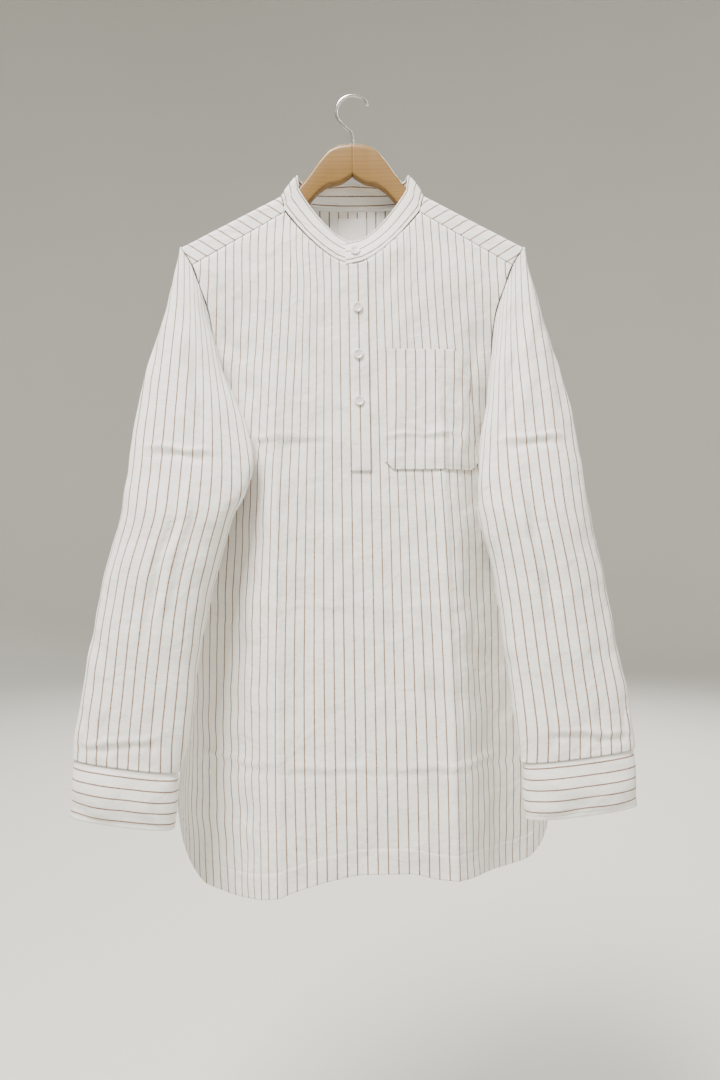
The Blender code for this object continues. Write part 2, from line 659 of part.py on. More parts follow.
def make_pocket():
    """The patch pocket, sewn on the front over its right pressed ridge, two corners cut off."""
    middle = (POCKET_TOP + POCKET_BOTTOM) / 2
    reach = np.array((POCKET_LEFT, POCKET_LEFT + POCKET_CORNER,
                      POCKET_RIGHT - POCKET_CORNER, POCKET_RIGHT))
    inner = placket_middle(middle) + SLOT / 2
    share = np.linspace(0, 1, 201)
    ends = np.interp(reach, front_x(1, share, middle), share)
    share = front_shares(1)
    share = np.concatenate((ends[:2], share[(share > ends[1] + 0.02) & (share < ends[2] - 0.02)],
                            ends[2:]))
    z = front_levels(POCKET_TOP, POCKET_BOTTOM) * np.ones_like(share)
    z[0] -= POCKET_MOUTH_DIP * ease((share - 0.62) / 0.2)
    z[-1, (0, -1)] += 0.8 * POCKET_CORNER
    z[-2, (0, -1)] += 0.3 * POCKET_CORNER
    lay_on_front("pocket", front_x(1, share, z), z, 1.3)


def make_label():
    """The plain neck label, sewn inside the back of the yoke."""
    x = np.linspace(LABEL_LEFT, LABEL_RIGHT, 5) * np.ones((4, 1))
    along = np.linspace(LABEL_START, LABEL_STOP, 4)[:, None] * np.ones(5)
    grid = shoulder_point(x, along)
    grid[..., 1] -= (WALL + LABEL_WALL) / 2 + 2 * SEAM
    wall("label", grid, LABEL_COLOUR, thick=LABEL_WALL)


def make_button(name, seat, out):
    """A turned button with a raised rim; seat is the cloth's point under it, out its direction."""
    radius = BUTTON / 2
    profile = ((0.82, 0.0), (1.0, 0.35), (1.0, 0.75), (0.86, 1.0), (0.66, 0.86))
    out = np.asarray(out) / np.linalg.norm(out)
    side = np.cross(out, (0.0, 0.0, 1.0))
    side /= np.linalg.norm(side)
    up = np.cross(side, out)
    angle = np.linspace(0, 2 * np.pi, 18, endpoint=False)[:, None]
    rings = []
    for share, height in profile:
        centre = np.asarray(seat) + out * (SEAM + height * BUTTON_HEIGHT)
        rings.append(centre + share * radius * (np.cos(angle) * side + np.sin(angle) * up))
    solid_rings(name, np.array(rings)[:, ::-1], BUTTON_COLOUR, 0.35)


def make_buttons():
    """The collar button, three on the placket and one on the hidden side of each cuff."""
    for number, level in enumerate(BUTTON_LEVELS):
        x = np.array(placket_middle(level)) - 1.0
        out = -inward(front_point, x, np.array(level))
        seat = front_point(x, np.array(level)) + out * (LAY + WALL / 2)
        make_button("button_placket_%d" % (number + 1), seat, out)
    band = collar_grid(4)
    lean = band[2, 1] - band[1, 1]
    out = np.array((0.0, -lean[2], lean[1])) / np.hypot(lean[1], lean[2])
    spot = (band[1, 1] + band[2, 1]) / 2
    make_button("button_collar", spot + out * BAND_WALL / 2, out)
    for name, side, table in (("left", -1, SLEEVE_LEFT), ("right", 1, SLEEVE_RIGHT)):
        ring = cuff_grid(side, table, 3, 28)[1]
        back = ring[np.argmax(ring[:, 1])]
        level = ring[:, 2].mean()
        seat = np.array((table[-1, 1] + side * 1.5, back[1] + 1.0, level))
        make_button("button_cuff_" + name, seat, (0.0, 1.0, 0.0))


def wood_top(x):
    """Upper edge of the wood: a steep neck in the middle, then the arm under the shoulder fold."""
    clear = WALL / 2 + 0.9 + 3.4 * np.exp(-((x - NECK_HALF) / 13.0) ** 2)
    join = 92.0
    knots = np.array((0.0, 14.0, 26.0, 37.0, 47.0, 57.0, 70.0, 80.0, join))
    line = np.array((WOOD_TOP, -57.5, -62.5, -74.0, -88.0, -101.5, -116.5, -124.0,
                     float(fold_height(join)) - 4.0))
    return np.where(x < join, smooth(x, knots, line), fold_height(x) - clear)


def wood_deep(x):
    """Height of the wood from its upper to its lower edge."""
    return smooth(x, np.array((0.0, 16.0, 50.0, 100.0, 150.0, 188.0)),
                  np.array((39.0, 46.0, 34.0, 30.0, 25.0, 17.0)))


def wood_section(top, deep, half):
    """Section of an arm: a half-round upper edge, flat sides and a lower edge with small rounds."""
    upper = np.linspace(0, np.pi, 9)
    corner = 0.55 * half
    lower = np.linspace(0, np.pi / 2, 4)
    y = np.concatenate((half * np.cos(upper), -half + corner - corner * np.cos(lower),
                        half - corner + corner * np.sin(lower)))
    z = np.concatenate((top - half + half * np.sin(upper),
                        top - deep + corner - corner * np.sin(lower),
                        top - deep + corner - corner * np.cos(lower)))
    return y, z


def make_hanger_half(name, side):
    """Half of the hanger: one curved wooden arm, which meets the other in the middle."""
    inner = SEAM / 2
    x = inner + (WOOD_REACH - inner) * np.linspace(0, 1, 22) ** 1.15
    rings = []
    for place in x:
        end = max(0.0, (place - WOOD_REACH + 7.0) / 7.0)
        half = WOOD_HALF * math.sqrt(1 - 0.75 * end ** 2)
        shrink = (WOOD_HALF - half) * 1.4
        top = float(wood_top(np.array(place))) - shrink
        deep = float(wood_deep(np.array(place))) - 2 * shrink
        y, z = wood_section(top, deep, half)
        middle = float(arm_depth(np.array(place)))
        rings.append(np.stack((np.full_like(y, side * place), middle + y, z), -1))
    rings = np.array(rings)
    solid_rings(name, rings if side > 0 else rings[:, ::-1], WOOD_COLOUR, 0.35)


def make_hook():
    """The wire hook: a round bend that opens to the right, swept down into the wood."""
    middle = HOOK_WIRE / 2 - HOOK_RADIUS
    bend = np.radians(np.linspace(22.0, 222.0, 21))
    arc = np.stack((HOOK_RADIUS * np.cos(bend), middle + HOOK_RADIUS * np.sin(bend)), -1)
    end = arc[-1]
    t = np.linspace(0, 1, 9)[1:, None]
    lower = np.array((0.0, WOOD_TOP + SEAM))
    pull = np.array((-math.sin(bend[-1]), math.cos(bend[-1]))) * 16.0
    away = np.array((0.0, 18.0))
    neck = ((1 - t) ** 3 * end + 3 * (1 - t) ** 2 * t * (end + pull)
            + 3 * (1 - t) * t * t * (lower + away) + t ** 3 * lower)
    path = np.concatenate((arc, neck))
    along = np.gradient(path, axis=0)
    along /= np.linalg.norm(along, axis=1, keepdims=True)
    along[-1] = (0.0, -1.0)
    across = np.stack((along[:, 1], -along[:, 0]), -1)
    angle = np.linspace(0, 2 * np.pi, 10, endpoint=False)
    x = path[:, :1] + across[:, :1] * np.cos(angle) * HOOK_WIRE / 2
    z = path[:, 1:] + across[:, 1:] * np.cos(angle) * HOOK_WIRE / 2
    y = np.sin(angle) * HOOK_WIRE / 2 * np.ones_like(x)
    solid_rings("hook", np.stack((x, y, z), -1), STEEL, 0.2, 1.0)


for old in list(bpy.data.objects):
    bpy.data.objects.remove(old, do_unlink=True)

make_front()
make_back()
make_yoke()
make_sleeve("sleeve_left", -1, SLEEVE_LEFT)
make_sleeve("sleeve_right", 1, SLEEVE_RIGHT)
make_cuff("cuff_left", -1, SLEEVE_LEFT)
make_cuff("cuff_right", 1, SLEEVE_RIGHT)
make_collar()
make_placket()
make_pocket()
make_label()
make_buttons()
make_hanger_half("hanger_left", -1)
make_hanger_half("hanger_right", 1)
make_hook()
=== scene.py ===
"""Looks of a short pinstriped kurta tunic that hangs on a two-part wooden hanger.

The sections follow the order in which the thing is put together: hanger, panels, collar, placket,
pocket, sleeves, cuffs, buttons, sewing, and last the studio. Tables and sizes are in millimetres,
X across, Y from front to back, Z up from the inner top of the hook.
"""

import math

import bpy
import numpy as np
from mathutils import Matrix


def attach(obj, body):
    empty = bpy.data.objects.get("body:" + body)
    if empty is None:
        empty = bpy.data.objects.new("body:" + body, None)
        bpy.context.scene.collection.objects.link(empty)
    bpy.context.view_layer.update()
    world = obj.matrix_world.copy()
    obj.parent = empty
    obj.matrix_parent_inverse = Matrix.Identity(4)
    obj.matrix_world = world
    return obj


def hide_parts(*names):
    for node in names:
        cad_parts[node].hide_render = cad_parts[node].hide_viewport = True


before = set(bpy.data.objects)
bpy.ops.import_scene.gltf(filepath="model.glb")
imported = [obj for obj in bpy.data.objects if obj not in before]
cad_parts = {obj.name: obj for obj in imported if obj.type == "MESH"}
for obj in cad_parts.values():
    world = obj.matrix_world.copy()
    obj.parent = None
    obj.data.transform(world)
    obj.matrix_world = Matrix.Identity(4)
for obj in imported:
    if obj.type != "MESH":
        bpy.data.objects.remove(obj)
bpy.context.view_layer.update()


# The hanger's hook: one chromed steel wire, 3.5 mm thick, bent round so that it opens to the
# right, then swept back to the middle and screwed down into the wood.
MM = 0.001
HOOK_WIRE = 3.5
HOOK_RADIUS = 19.5
HOOK_FOOT = -55.7


def make_mesh(name, points, faces, material, nodes, uv=None):
    """One piece from points in millimetres; it rides on the part and stands for the given nodes.

    uv gives one pair for each point, in metres of cloth, and goes to the corners of the faces.
    """
    mesh = bpy.data.meshes.new(name)
    mesh.from_pydata((np.asarray(points) * MM).tolist(), [], np.asarray(faces).tolist())
    mesh.validate()
    mesh.polygons.foreach_set("use_smooth", np.ones(len(mesh.polygons), bool))
    if uv is not None:
        corners = np.empty(len(mesh.loops), np.int32)
        mesh.loops.foreach_get("vertex_index", corners)
        layer = mesh.uv_layers.new(name="cloth")
        layer.data.foreach_set("uv", np.asarray(uv)[corners].astype(np.float32).ravel())
    mesh.materials.append(material)
    piece = bpy.data.objects.new(name, mesh)
    bpy.context.scene.collection.objects.link(piece)
    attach(piece, "root")
    if nodes:
        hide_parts(*nodes)
    return piece


def grid_faces(rows, columns, ring=False):
    """Quads between the points of a grid; a ring also joins its last column to its first."""
    row = np.arange(rows - 1)[:, None]
    col = np.arange(columns if ring else columns - 1)[None, :]
    after = (col + 1) % columns
    corners = (row * columns + col, row * columns + after,
               (row + 1) * columns + after, (row + 1) * columns + col)
    return np.stack([np.broadcast_to(c, (rows - 1, col.size)) for c in corners], -1).reshape(-1, 4)


def unit(vectors):
    """Vectors brought to length one."""
    return vectors / np.linalg.norm(vectors, axis=-1, keepdims=True)


def tube(name, path, radius, sides, material, nodes):
    """A round wire: a circle carried along a path, its ends drawn in to a point."""
    along = unit(np.gradient(path, axis=0))
    across = unit(np.cross(along, (0.0, 1.0, 0.0)))
    up = np.cross(across, along)
    thick = np.full(len(path), float(radius))
    thick[[0, -1]] = 0.02
    thick[[1, -2]] *= 0.8
    angle = np.linspace(0, 2 * np.pi, sides, endpoint=False)[None, :, None]
    rings = path[:, None] + thick[:, None, None] * (np.cos(angle) * across[:, None]
                                                    + np.sin(angle) * up[:, None])
    return make_mesh(name, rings.reshape(-1, 3), grid_faces(len(path), sides, True)[:, ::-1],
                     material, nodes)


def new_material(name, colour, roughness, metallic=0.0):
    """A material with its Principled shader set, and the node tree to add to."""
    material = bpy.data.materials.new(name)
    material.use_nodes = True
    shader = material.node_tree.nodes["Principled BSDF"]
    shader.inputs["Base Color"].default_value = (*colour, 1.0)
    shader.inputs["Roughness"].default_value = roughness
    shader.inputs["Metallic"].default_value = metallic
    return material, shader, material.node_tree


def set_inputs(tree, node, inputs):
    """Gives a node's inputs, by name or number, a value or another node's socket each."""
    for name, value in inputs.items():
        if isinstance(value, bpy.types.NodeSocket):
            tree.links.new(value, node.inputs[name])
        else:
            node.inputs[name].default_value = value


def add_node(tree, kind, inputs=None, **settings):
    """Adds a node with its settings and inputs."""
    node = tree.nodes.new(kind)
    for name, value in settings.items():
        setattr(node, name, value)
    set_inputs(tree, node, inputs or {})
    return node


def colour_steps(tree, factor, steps):
    """A colour ramp through (place, colour) steps."""
    ramp = add_node(tree, "ShaderNodeValToRGB", {"Fac": factor})
    elements = ramp.color_ramp.elements
    elements[0].position, elements[0].color = steps[0][0], (*steps[0][1], 1.0)
    elements[1].position, elements[1].color = steps[-1][0], (*steps[-1][1], 1.0)
    for place, colour in steps[1:-1]:
        elements.new(place).color = (*colour, 1.0)
    return ramp.outputs["Color"]


def noise(tree, place, scale, detail=2.0, **others):
    """Grey value of a noise texture read at a place."""
    inputs = {"Vector": place, "Scale": scale, "Detail": detail, **others}
    return add_node(tree, "ShaderNodeTexNoise", inputs).outputs["Fac"]


def span(tree, value, given, result):
    """Maps values between two given ones evenly to values between two others."""
    inputs = {"Value": value, "From Min": given[0], "From Max": given[1],
              "To Min": result[0], "To Max": result[1]}
    return add_node(tree, "ShaderNodeMapRange", inputs).outputs["Result"]


def bumped(tree, height, strength, distance, **others):
    """The surface's normals, bent by a height."""
    inputs = {"Height": height, "Strength": strength, "Distance": distance, **others}
    return add_node(tree, "ShaderNodeBump", inputs).outputs["Normal"]


def chrome_material():
    """Bright plating over steel, with faint draw marks along the wire and duller spots."""
    material, shader, tree = new_material("chromed wire", (0.62, 0.62, 0.61), 0.16, 1.0)
    place = add_node(tree, "ShaderNodeTexCoord").outputs["Object"]
    marks = noise(tree, place, 900.0, 3.0)
    spots = noise(tree, place, 160.0, 4.0)
    tone = colour_steps(tree, spots, ((0.3, (0.66, 0.66, 0.65)), (0.8, (0.48, 0.46, 0.44))))
    set_inputs(tree, shader, {"Base Color": tone, "Normal": bumped(tree, marks, 0.12, 0.0002),
                              "Roughness": span(tree, spots, (0.35, 0.75), (0.12, 0.34))})
    return material


middle = HOOK_WIRE / 2 - HOOK_RADIUS
bend = np.radians(np.linspace(22.0, 222.0, 61))
arc = np.stack((HOOK_RADIUS * np.cos(bend), middle + HOOK_RADIUS * np.sin(bend)), -1)
t = np.linspace(0, 1, 33)[1:, None]
pull = np.array((-math.sin(bend[-1]), math.cos(bend[-1]))) * 16.0
foot = np.array((0.0, HOOK_FOOT))
neck = ((1 - t) ** 3 * arc[-1] + 3 * (1 - t) ** 2 * t * (arc[-1] + pull)
        + 3 * (1 - t) * t * t * (foot + (0.0, 18.0)) + t ** 3 * foot)
wire = np.concatenate((arc, neck))
hook_path = np.stack((wire[:, 0], np.zeros(len(wire)), wire[:, 1]), -1)
tube("hook_wire", hook_path, HOOK_WIRE / 2, 20, chrome_material(), ["hook"])


# The hanger's two arms: honey-brown wood, shaped, sanded round and clear varnished, glued
# together in the middle under the hook. Its steep neck shows in the collar's opening.
WOOD_TOP = -56.0
WOOD_HALF = 6.5
WOOD_START = 0.03
WOOD_REACH = 188.0
WOOD_TIP = 7.0
JOINT_GROOVE = 0.4
WALL = 1.2
SEAM = 0.3
NECK_HALF = 85.0
NECK_HEIGHT = -121.0
SHOULDER_FALL = 0.54
ARM_FORWARD = 0.055


def smooth(at, knots, values):
    """Smooth curve through the knots, which run along the last axis.

    Each stretch is a cubic with the harmonic mean of its neighbours' slopes at its ends, so the
    curve never swings past a knot.
    """
    at = np.asarray(at, float)
    knots = np.broadcast_to(knots, at.shape + np.shape(knots)[-1:])
    values = np.broadcast_to(values, at.shape + np.shape(values)[-1:])
    step = np.diff(knots, axis=-1)
    slope = np.diff(values, axis=-1) / step
    before, after = slope[..., :-1], slope[..., 1:]
    total = np.where(before * after > 0, before + after, 1.0)
    mean = np.where(before * after > 0, 2 * before * after / total, 0.0)
    tangent = np.concatenate((slope[..., :1], mean, slope[..., -1:]), axis=-1)
    place = np.clip((at[..., None] > knots).sum(-1) - 1, 0, knots.shape[-1] - 2)[..., None]

    def take(array, shift=0):
        return np.take_along_axis(array, place + shift, -1)[..., 0]

    width = take(step)
    t = np.clip((at - take(knots)) / width, 0.0, 1.0)
    return ((1 + 2 * t) * (1 - t) ** 2 * take(values) + t * (1 - t) ** 2 * width * take(tangent)
            + t * t * (3 - 2 * t) * take(values, 1) - t * t * (1 - t) * width * take(tangent, 1))


def fold_height(x):
    """Height of the shoulder fold."""
    return NECK_HEIGHT - SHOULDER_FALL * np.maximum(np.abs(x) - NECK_HALF, 0.0)


def arm_depth(x):
    """How far forward the hanger's arm carries the fold."""
    return -ARM_FORWARD * np.maximum(np.abs(x) - 20.0, 0.0)


def wood_top(x):
    """Upper edge of the wood: a steep neck in the middle, then the arm under the shoulder fold."""
    clear = WALL / 2 + 0.9 + 3.4 * np.exp(-((x - NECK_HALF) / 13.0) ** 2)
    join = 92.0
    knots = np.array((0.0, 14.0, 26.0, 37.0, 47.0, 57.0, 70.0, 80.0, join))
    line = np.array((WOOD_TOP, -57.5, -62.5, -74.0, -88.0, -101.5, -116.5, -124.0,
                     float(fold_height(join)) - 4.0))
    return np.where(x < join, smooth(x, knots, line), fold_height(x) - clear)


def wood_deep(x):
    """Height of the wood from its upper to its lower edge."""
    return smooth(x, np.array((0.0, 16.0, 50.0, 100.0, 150.0, 188.0)),
                  np.array((39.0, 46.0, 34.0, 30.0, 25.0, 17.0)))


def drawn_out(tree, place, scale, turn=0.0):
    """A place scaled along each axis, so that a texture read there is drawn out."""
    inputs = {"Vector": place, "Scale": scale, "Rotation": (0.0, turn, 0.0)}
    return add_node(tree, "ShaderNodeMapping", inputs).outputs["Vector"]


def mix_colours(tree, factor, first, second, blend="MIX"):
    """A colour Mix node; each of its three inputs is a value or a socket."""
    return add_node(tree, "ShaderNodeMix", {0: factor, 6: first, 7: second}, data_type="RGBA",
                    blend_type=blend).outputs[2]


def varnished_wood():
    """Long brown growth lines that wander along the arm, fine pores, and a clear thin coat."""
    material, shader, tree = new_material("varnished wood", (0.20, 0.105, 0.018), 0.42)
    place = add_node(tree, "ShaderNodeTexCoord").outputs["Object"]
    long_way = drawn_out(tree, place, (5.0, 110.0, 110.0), 0.06)
    rings = add_node(tree, "ShaderNodeTexWave", {"Vector": long_way, "Scale": 0.6,
                                                 "Distortion": 11.0, "Detail": 4.0,
                                                 "Detail Scale": 0.6}, bands_direction="Z")
    tone = colour_steps(tree, rings.outputs["Fac"],
                        ((0.0, (0.215, 0.115, 0.020)), (0.6, (0.205, 0.108, 0.018)),
                         (1.0, (0.185, 0.095, 0.015))))
    patch = colour_steps(tree, noise(tree, long_way, 1.0, 4.0, Roughness=0.6),
                         ((0.3, (0.94, 0.92, 0.89)), (0.75, (1.05, 1.04, 1.02))))
    pores = noise(tree, drawn_out(tree, place, (45.0, 900.0, 900.0)), 1.0)
    grown = mix_colours(tree, 1.0, tone, patch, "MULTIPLY")
    specks = span(tree, pores, (0.52, 0.70), (0.0, 0.45))
    final = mix_colours(tree, specks, grown, (0.22, 0.09, 0.03, 1.0))
    set_inputs(tree, shader, {"Base Color": final, "Normal": bumped(tree, pores, 0.15, 0.0002),
                              "Coat Weight": 0.2, "Coat Roughness": 0.3})
    return material


def wooden_arm(name, side, material, node):
    """A rounded section carried out along the arm, smaller to its tip, with closed ends.

    The section has a half-round upper edge, flat sides and a lower edge with small rounds. Its
    first ring is moved outwards, which leaves a small groove where the two arms are joined.
    """
    out = WOOD_START + (WOOD_REACH - WOOD_START) * np.linspace(0, 1, 90) ** 1.1
    end = np.maximum(0.0, (out - WOOD_REACH + WOOD_TIP) / WOOD_TIP)
    half = WOOD_HALF * np.sqrt(1 - 0.75 * end ** 2)
    shrink = (WOOD_HALF - half) * 1.4
    top = wood_top(out) - shrink
    deep = wood_deep(out) - 2 * shrink
    upper = np.linspace(0, np.pi, 21)
    lower = np.linspace(0, np.pi / 2, 8)
    half, top, deep = half[:, None], top[:, None], deep[:, None]
    corner = 0.55 * half
    y = np.concatenate((half * np.cos(upper), -half + corner - corner * np.cos(lower),
                        half - corner + corner * np.sin(lower)), axis=1)
    z = np.concatenate((top - half + half * np.sin(upper), top - deep + corner
                        - corner * np.sin(lower), top - deep + corner - corner * np.cos(lower)),
                       axis=1)
    rings = np.stack((np.broadcast_to(side * out[:, None], y.shape),
                      arm_depth(out)[:, None] + y, z), -1)
    centre = rings.mean(axis=1, keepdims=True)
    point = centre + 0.002 * (rings - centre)
    joint = centre[:1] + 0.96 * (rings[:1] - centre[:1])
    rings[0, :, 0] += side * JOINT_GROOVE
    rings = np.concatenate((point[:1], joint, rings, point[-1:]))
    faces = grid_faces(len(rings), y.shape[1], True)
    return make_mesh(name, rings.reshape(-1, 3), faces if side > 0 else faces[:, ::-1],
                     material, [node])


wood = varnished_wood()
arm_names = ["wood_arm_left", "wood_arm_right"]
wooden_arm(arm_names[0], -1, wood, "hanger_left")
wooden_arm(arm_names[1], 1, wood, "hanger_right")


# The front: one panel of off-white plain-woven cotton with thin brown pinstripes, cut from the
# yoke's seam to a shirt-tail hem and slit for the placket. Ironed folds still stand in it: two
# long ones down its sides and three across it. A 27 mm hem is turned up inside.
SHOULDER_BEND = 8.0
FRONT_LEAN = 0.15
UNDERARM = -449.0
YOKE_END = 186.0
GRAIN_HALF = 160.0
SLOT = 12.0
PLACKET_START = -206.0
PLACKET_END = -449.0
HEM_DEEP = 27.0
HEM_ROWS = 26
HEM_SEWN = 3 - HEM_ROWS
CREASE_STRENGTH = 1.6

# Armhole seam of the left side: height, how far out on the front and how far out on the back
ARMHOLE = np.array((
    # height, front, back
    (-184.0, 201.0, 201.0),
    (-206.0, 187.0, 193.0),
    (-229.0, 178.0, 186.0),
    (-265.0, 166.0, 180.0),
    (-306.0, 162.0, 177.0),
    (-350.0, 163.0, 178.0),
    (-400.0, 171.0, 187.0),
    (-430.0, 183.0, 199.0),
    (UNDERARM, 205.0, 205.0)))

# Side seams below the armholes: how far out and how far back, left and right
SIDE = np.array((
    # height, left out, left back, right out, right back
    (UNDERARM, 205.0, 12.0, 205.0, 12.0),
    (-520.0, 201.0, 9.0, 203.0, 12.0),
    (-640.0, 198.0, 4.0, 212.0, 14.0),
    (-745.0, 199.0, 0.0, 226.0, 16.0),
    (-843.0, 207.0, -2.0, 238.0, 18.0),
    (-935.0, 207.0, -3.0, 238.0, 18.0)))

# Pressed ridges of the front, and the middles of its flanks: place across and depth
RIDGES = np.array((
    # height, left flank x, y, left ridge x, y, middle y, right ridge x, y, right flank x, y
    (-200.0, -140.0, -18.0, -95.0, -23.0, -26.0, 92.0, -23.0, 140.0, -19.0),
    (-306.0, -128.0, -25.0, -90.0, -33.0, -34.0, 95.0, -32.0, 128.0, -27.0),
    (-400.0, -134.0, -26.0, -87.0, -43.0, -43.0, 101.0, -41.0, 134.0, -28.0),
    (-480.0, -142.0, -18.0, -85.0, -52.0, -50.0, 104.0, -50.0, 150.0, -24.0),
    (-600.0, -146.0, -26.0, -83.0, -63.0, -61.0, 106.0, -60.0, 158.0, -25.0),
    (-700.0, -141.0, -37.0, -81.0, -73.0, -71.0, 111.0, -69.0, 164.0, -24.0),
    (-800.0, -140.0, -43.0, -79.0, -81.0, -80.0, 113.0, -78.0, 170.0, -25.0),
    (-935.0, -139.0, -46.0, -77.0, -91.0, -87.0, 116.0, -86.0, 172.0, -28.0)))

# Hem of the front: place across as a share of the half width, and height
FRONT_HEM = np.array((
    # across, height
    (-1.00, -845.0), (-0.985, -880.0), (-0.955, -908.0), (-0.90, -925.0), (-0.80, -928.0),
    (-0.65, -921.0), (-0.40, -907.0), (-0.18, -898.0), (0.05, -892.0), (0.25, -892.0),
    (0.45, -898.0), (0.65, -900.0), (0.85, -906.0), (0.92, -904.0), (0.965, -893.0),
    (0.99, -874.0), (1.00, -850.0)))

# Neck seam from the middle of the front to the shoulder: place across and height
FRONT_NECK = np.array((
    # across, height
    (0.0, -207.5), (14.0, -203.5), (25.0, -197.5), (35.0, -190.0), (46.0, -180.0),
    (58.0, -167.5), (70.0, -153.5), (79.0, -142.0)))

# Creases of the front, each a soft line between two places; out is its height, minus a trough
FRONT_CREASES = np.array((
    # start x, start z, end x, end z, half width, out
    (-150.0, -411.0, -12.0, -408.0, 3.2, 1.0),
    (-120.0, -417.0, -20.0, -416.0, 4.0, -0.7),
    (22.0, -409.0, 128.0, -404.0, 3.2, 0.9),
    (-140.0, -598.0, 20.0, -602.0, 4.0, 0.5),
    (40.0, -603.0, 150.0, -597.0, 4.0, 0.45),
    (-186.0, -772.0, -84.0, -777.0, 3.0, 1.1),
    (-84.0, -777.0, 30.0, -779.0, 3.4, 0.9),
    (20.0, -779.0, 190.0, -774.0, 3.2, 1.1),
    (-160.0, -783.0, 150.0, -786.0, 4.5, -0.7),
    (56.0, -396.0, 112.0, -406.0, 6.0, 0.7),
    (62.0, -406.0, 118.0, -416.0, 6.0, -0.5),
    (-150.0, -262.0, -118.0, -372.0, 9.0, -1.5),
    (-132.0, -300.0, -112.0, -440.0, 8.0, 1.3),
    (-146.0, -330.0, -124.0, -470.0, 7.0, -1.2),
    (148.0, -270.0, 126.0, -390.0, 9.0, -1.4),
    (131.0, -330.0, 122.0, -450.0, 7.0, 1.1),
    (-60.0, -212.0, -46.0, -330.0, 8.0, 0.7),
    (-34.0, -230.0, -26.0, -300.0, 6.0, -0.6),
    (52.0, -215.0, 60.0, -300.0, 8.0, 0.6),
    (-48.0, -470.0, -52.0, -740.0, 11.0, -0.9),
    (-18.0, -480.0, -10.0, -700.0, 13.0, 0.8),
    (44.0, -500.0, 52.0, -770.0, 12.0, -0.9),
    (74.0, -560.0, 82.0, -760.0, 9.0, 0.8),
    (-112.0, -560.0, -116.0, -760.0, 7.0, 1.1),
    (132.0, -520.0, 146.0, -740.0, 8.0, -1.2),
    (-60.0, -800.0, -56.0, -905.0, 9.0, 0.8),
    (-120.0, -800.0, -124.0, -925.0, 8.0, -0.9),
    (20.0, -800.0, 26.0, -890.0, 10.0, -0.6),
    (78.0, -800.0, 84.0, -895.0, 8.0, 0.8),
    (150.0, -800.0, 156.0, -900.0, 8.0, 1.0)))


def column(table, number, height):
    """Value of a table's column at a height; the table runs from top to bottom."""
    return smooth(-np.asarray(height, float), -table[:, 0], table[:, number])


def ease(t):
    """Soft step from 0 to 1."""
    t = np.clip(t, 0.0, 1.0)
    return t * t * (3 - 2 * t)


def edge_out(z, side, back=False):
    """How far out the panel's edge lies: the armhole seam, then the side seam."""
    armhole = column(ARMHOLE, 2 if back else 1, z)
    seam = column(SIDE, 1 if side < 0 else 3, z)
    return np.where(z > UNDERARM, armhole, seam)


def front_depth(x, z):
    """Depth of the front's middle surface: the lean from the shoulder, then the pressed ridges."""
    drop = NECK_HEIGHT - SHOULDER_FALL * (np.abs(x) - NECK_HALF) - SHOULDER_BEND - z
    shoulder = arm_depth(x) - SHOULDER_BEND - FRONT_LEAN * drop
    row = [column(RIDGES, number, z) for number in range(1, 10)]
    armhole = -17.0 + 29.0 * ease((UNDERARM + 150.0 - z) / 150.0)
    left_edge = np.where(z > UNDERARM, armhole, column(SIDE, 2, z))
    right_edge = np.where(z > UNDERARM, armhole, column(SIDE, 4, z))
    middle = 0.5 * (row[2] + row[5])
    knots = np.stack((-edge_out(z, -1), row[0], row[2], middle, row[5], row[7], edge_out(z, 1)), -1)
    depths = np.stack((left_edge, row[1], row[3], row[4], row[6], row[8], right_edge), -1)
    return shoulder + (smooth(x, knots, depths) - shoulder) * ease((drop - 25.0) / 110.0)


def creased(x, z, table):
    """Sum of soft lines: each falls off as a bell across its way and fades out at both its ends."""
    total = np.zeros(np.broadcast(x, z).shape)
    for start_x, start_z, end_x, end_z, half_width, out in table:
        out = CREASE_STRENGTH * out
        way = np.array((end_x - start_x, end_z - start_z))
        length = np.hypot(*way)
        along = ((x - start_x) * way[0] + (z - start_z) * way[1]) / length
        off = ((x - start_x) * way[1] - (z - start_z) * way[0]) / length
        wander = 0.35 * half_width * np.sin(along * 5.0 / (length ** 0.5 * 4.0) + start_x)
        fade = ease(along / (0.3 * length)) * ease((length - along) / (0.3 * length))
        total += out * fade * np.exp(-((off + wander) / half_width) ** 2)
    return total


def slight_waves(x, z, seed, size=0.55):
    """Small unevenness of worn cloth: twelve crossing waves of 25 to 110 mm in seeded directions."""
    chance = np.random.default_rng(seed)
    total = np.zeros(np.broadcast(x, z).shape)
    for length in np.geomspace(25.0, 110.0, 12):
        turn, phase = chance.uniform(0, np.pi), chance.uniform(0, 2 * np.pi)
        across = x * np.cos(turn) + z * np.sin(turn)
        total += (length / 110.0) ** 0.7 * np.sin(2 * np.pi * across / length + phase)
    return size * total / 2.0


def front_relief(x, z):
    """How far the cloth stands out of the plain form: pressed edges, creases and waves.

    A pressed edge is a ridge whose two sides fall off evenly from a sharp line.
    """
    left = np.abs(x - column(RIDGES, 3, z))
    right = np.abs(x - column(RIDGES, 6, z))
    fade = ease((-300.0 - z) / 100.0)
    pressed = 4.6 * np.exp(-left / 9.0) + 4.2 * np.exp(-right / 9.0)
    pressed -= 1.6 * np.exp(-np.abs(x - column(RIDGES, 6, z) - 8.0) / 4.0)
    quiet = ease((edge_out(z, -1) - np.abs(x)) / 18.0) * ease((front_top(x) - z) / 14.0)
    return quiet * (fade * pressed + creased(x, z, FRONT_CREASES) + slight_waves(x, z, 3))


def front_point(x, z):
    """Point of the front's plain form."""
    return np.stack((x, front_depth(x, z), z), -1)


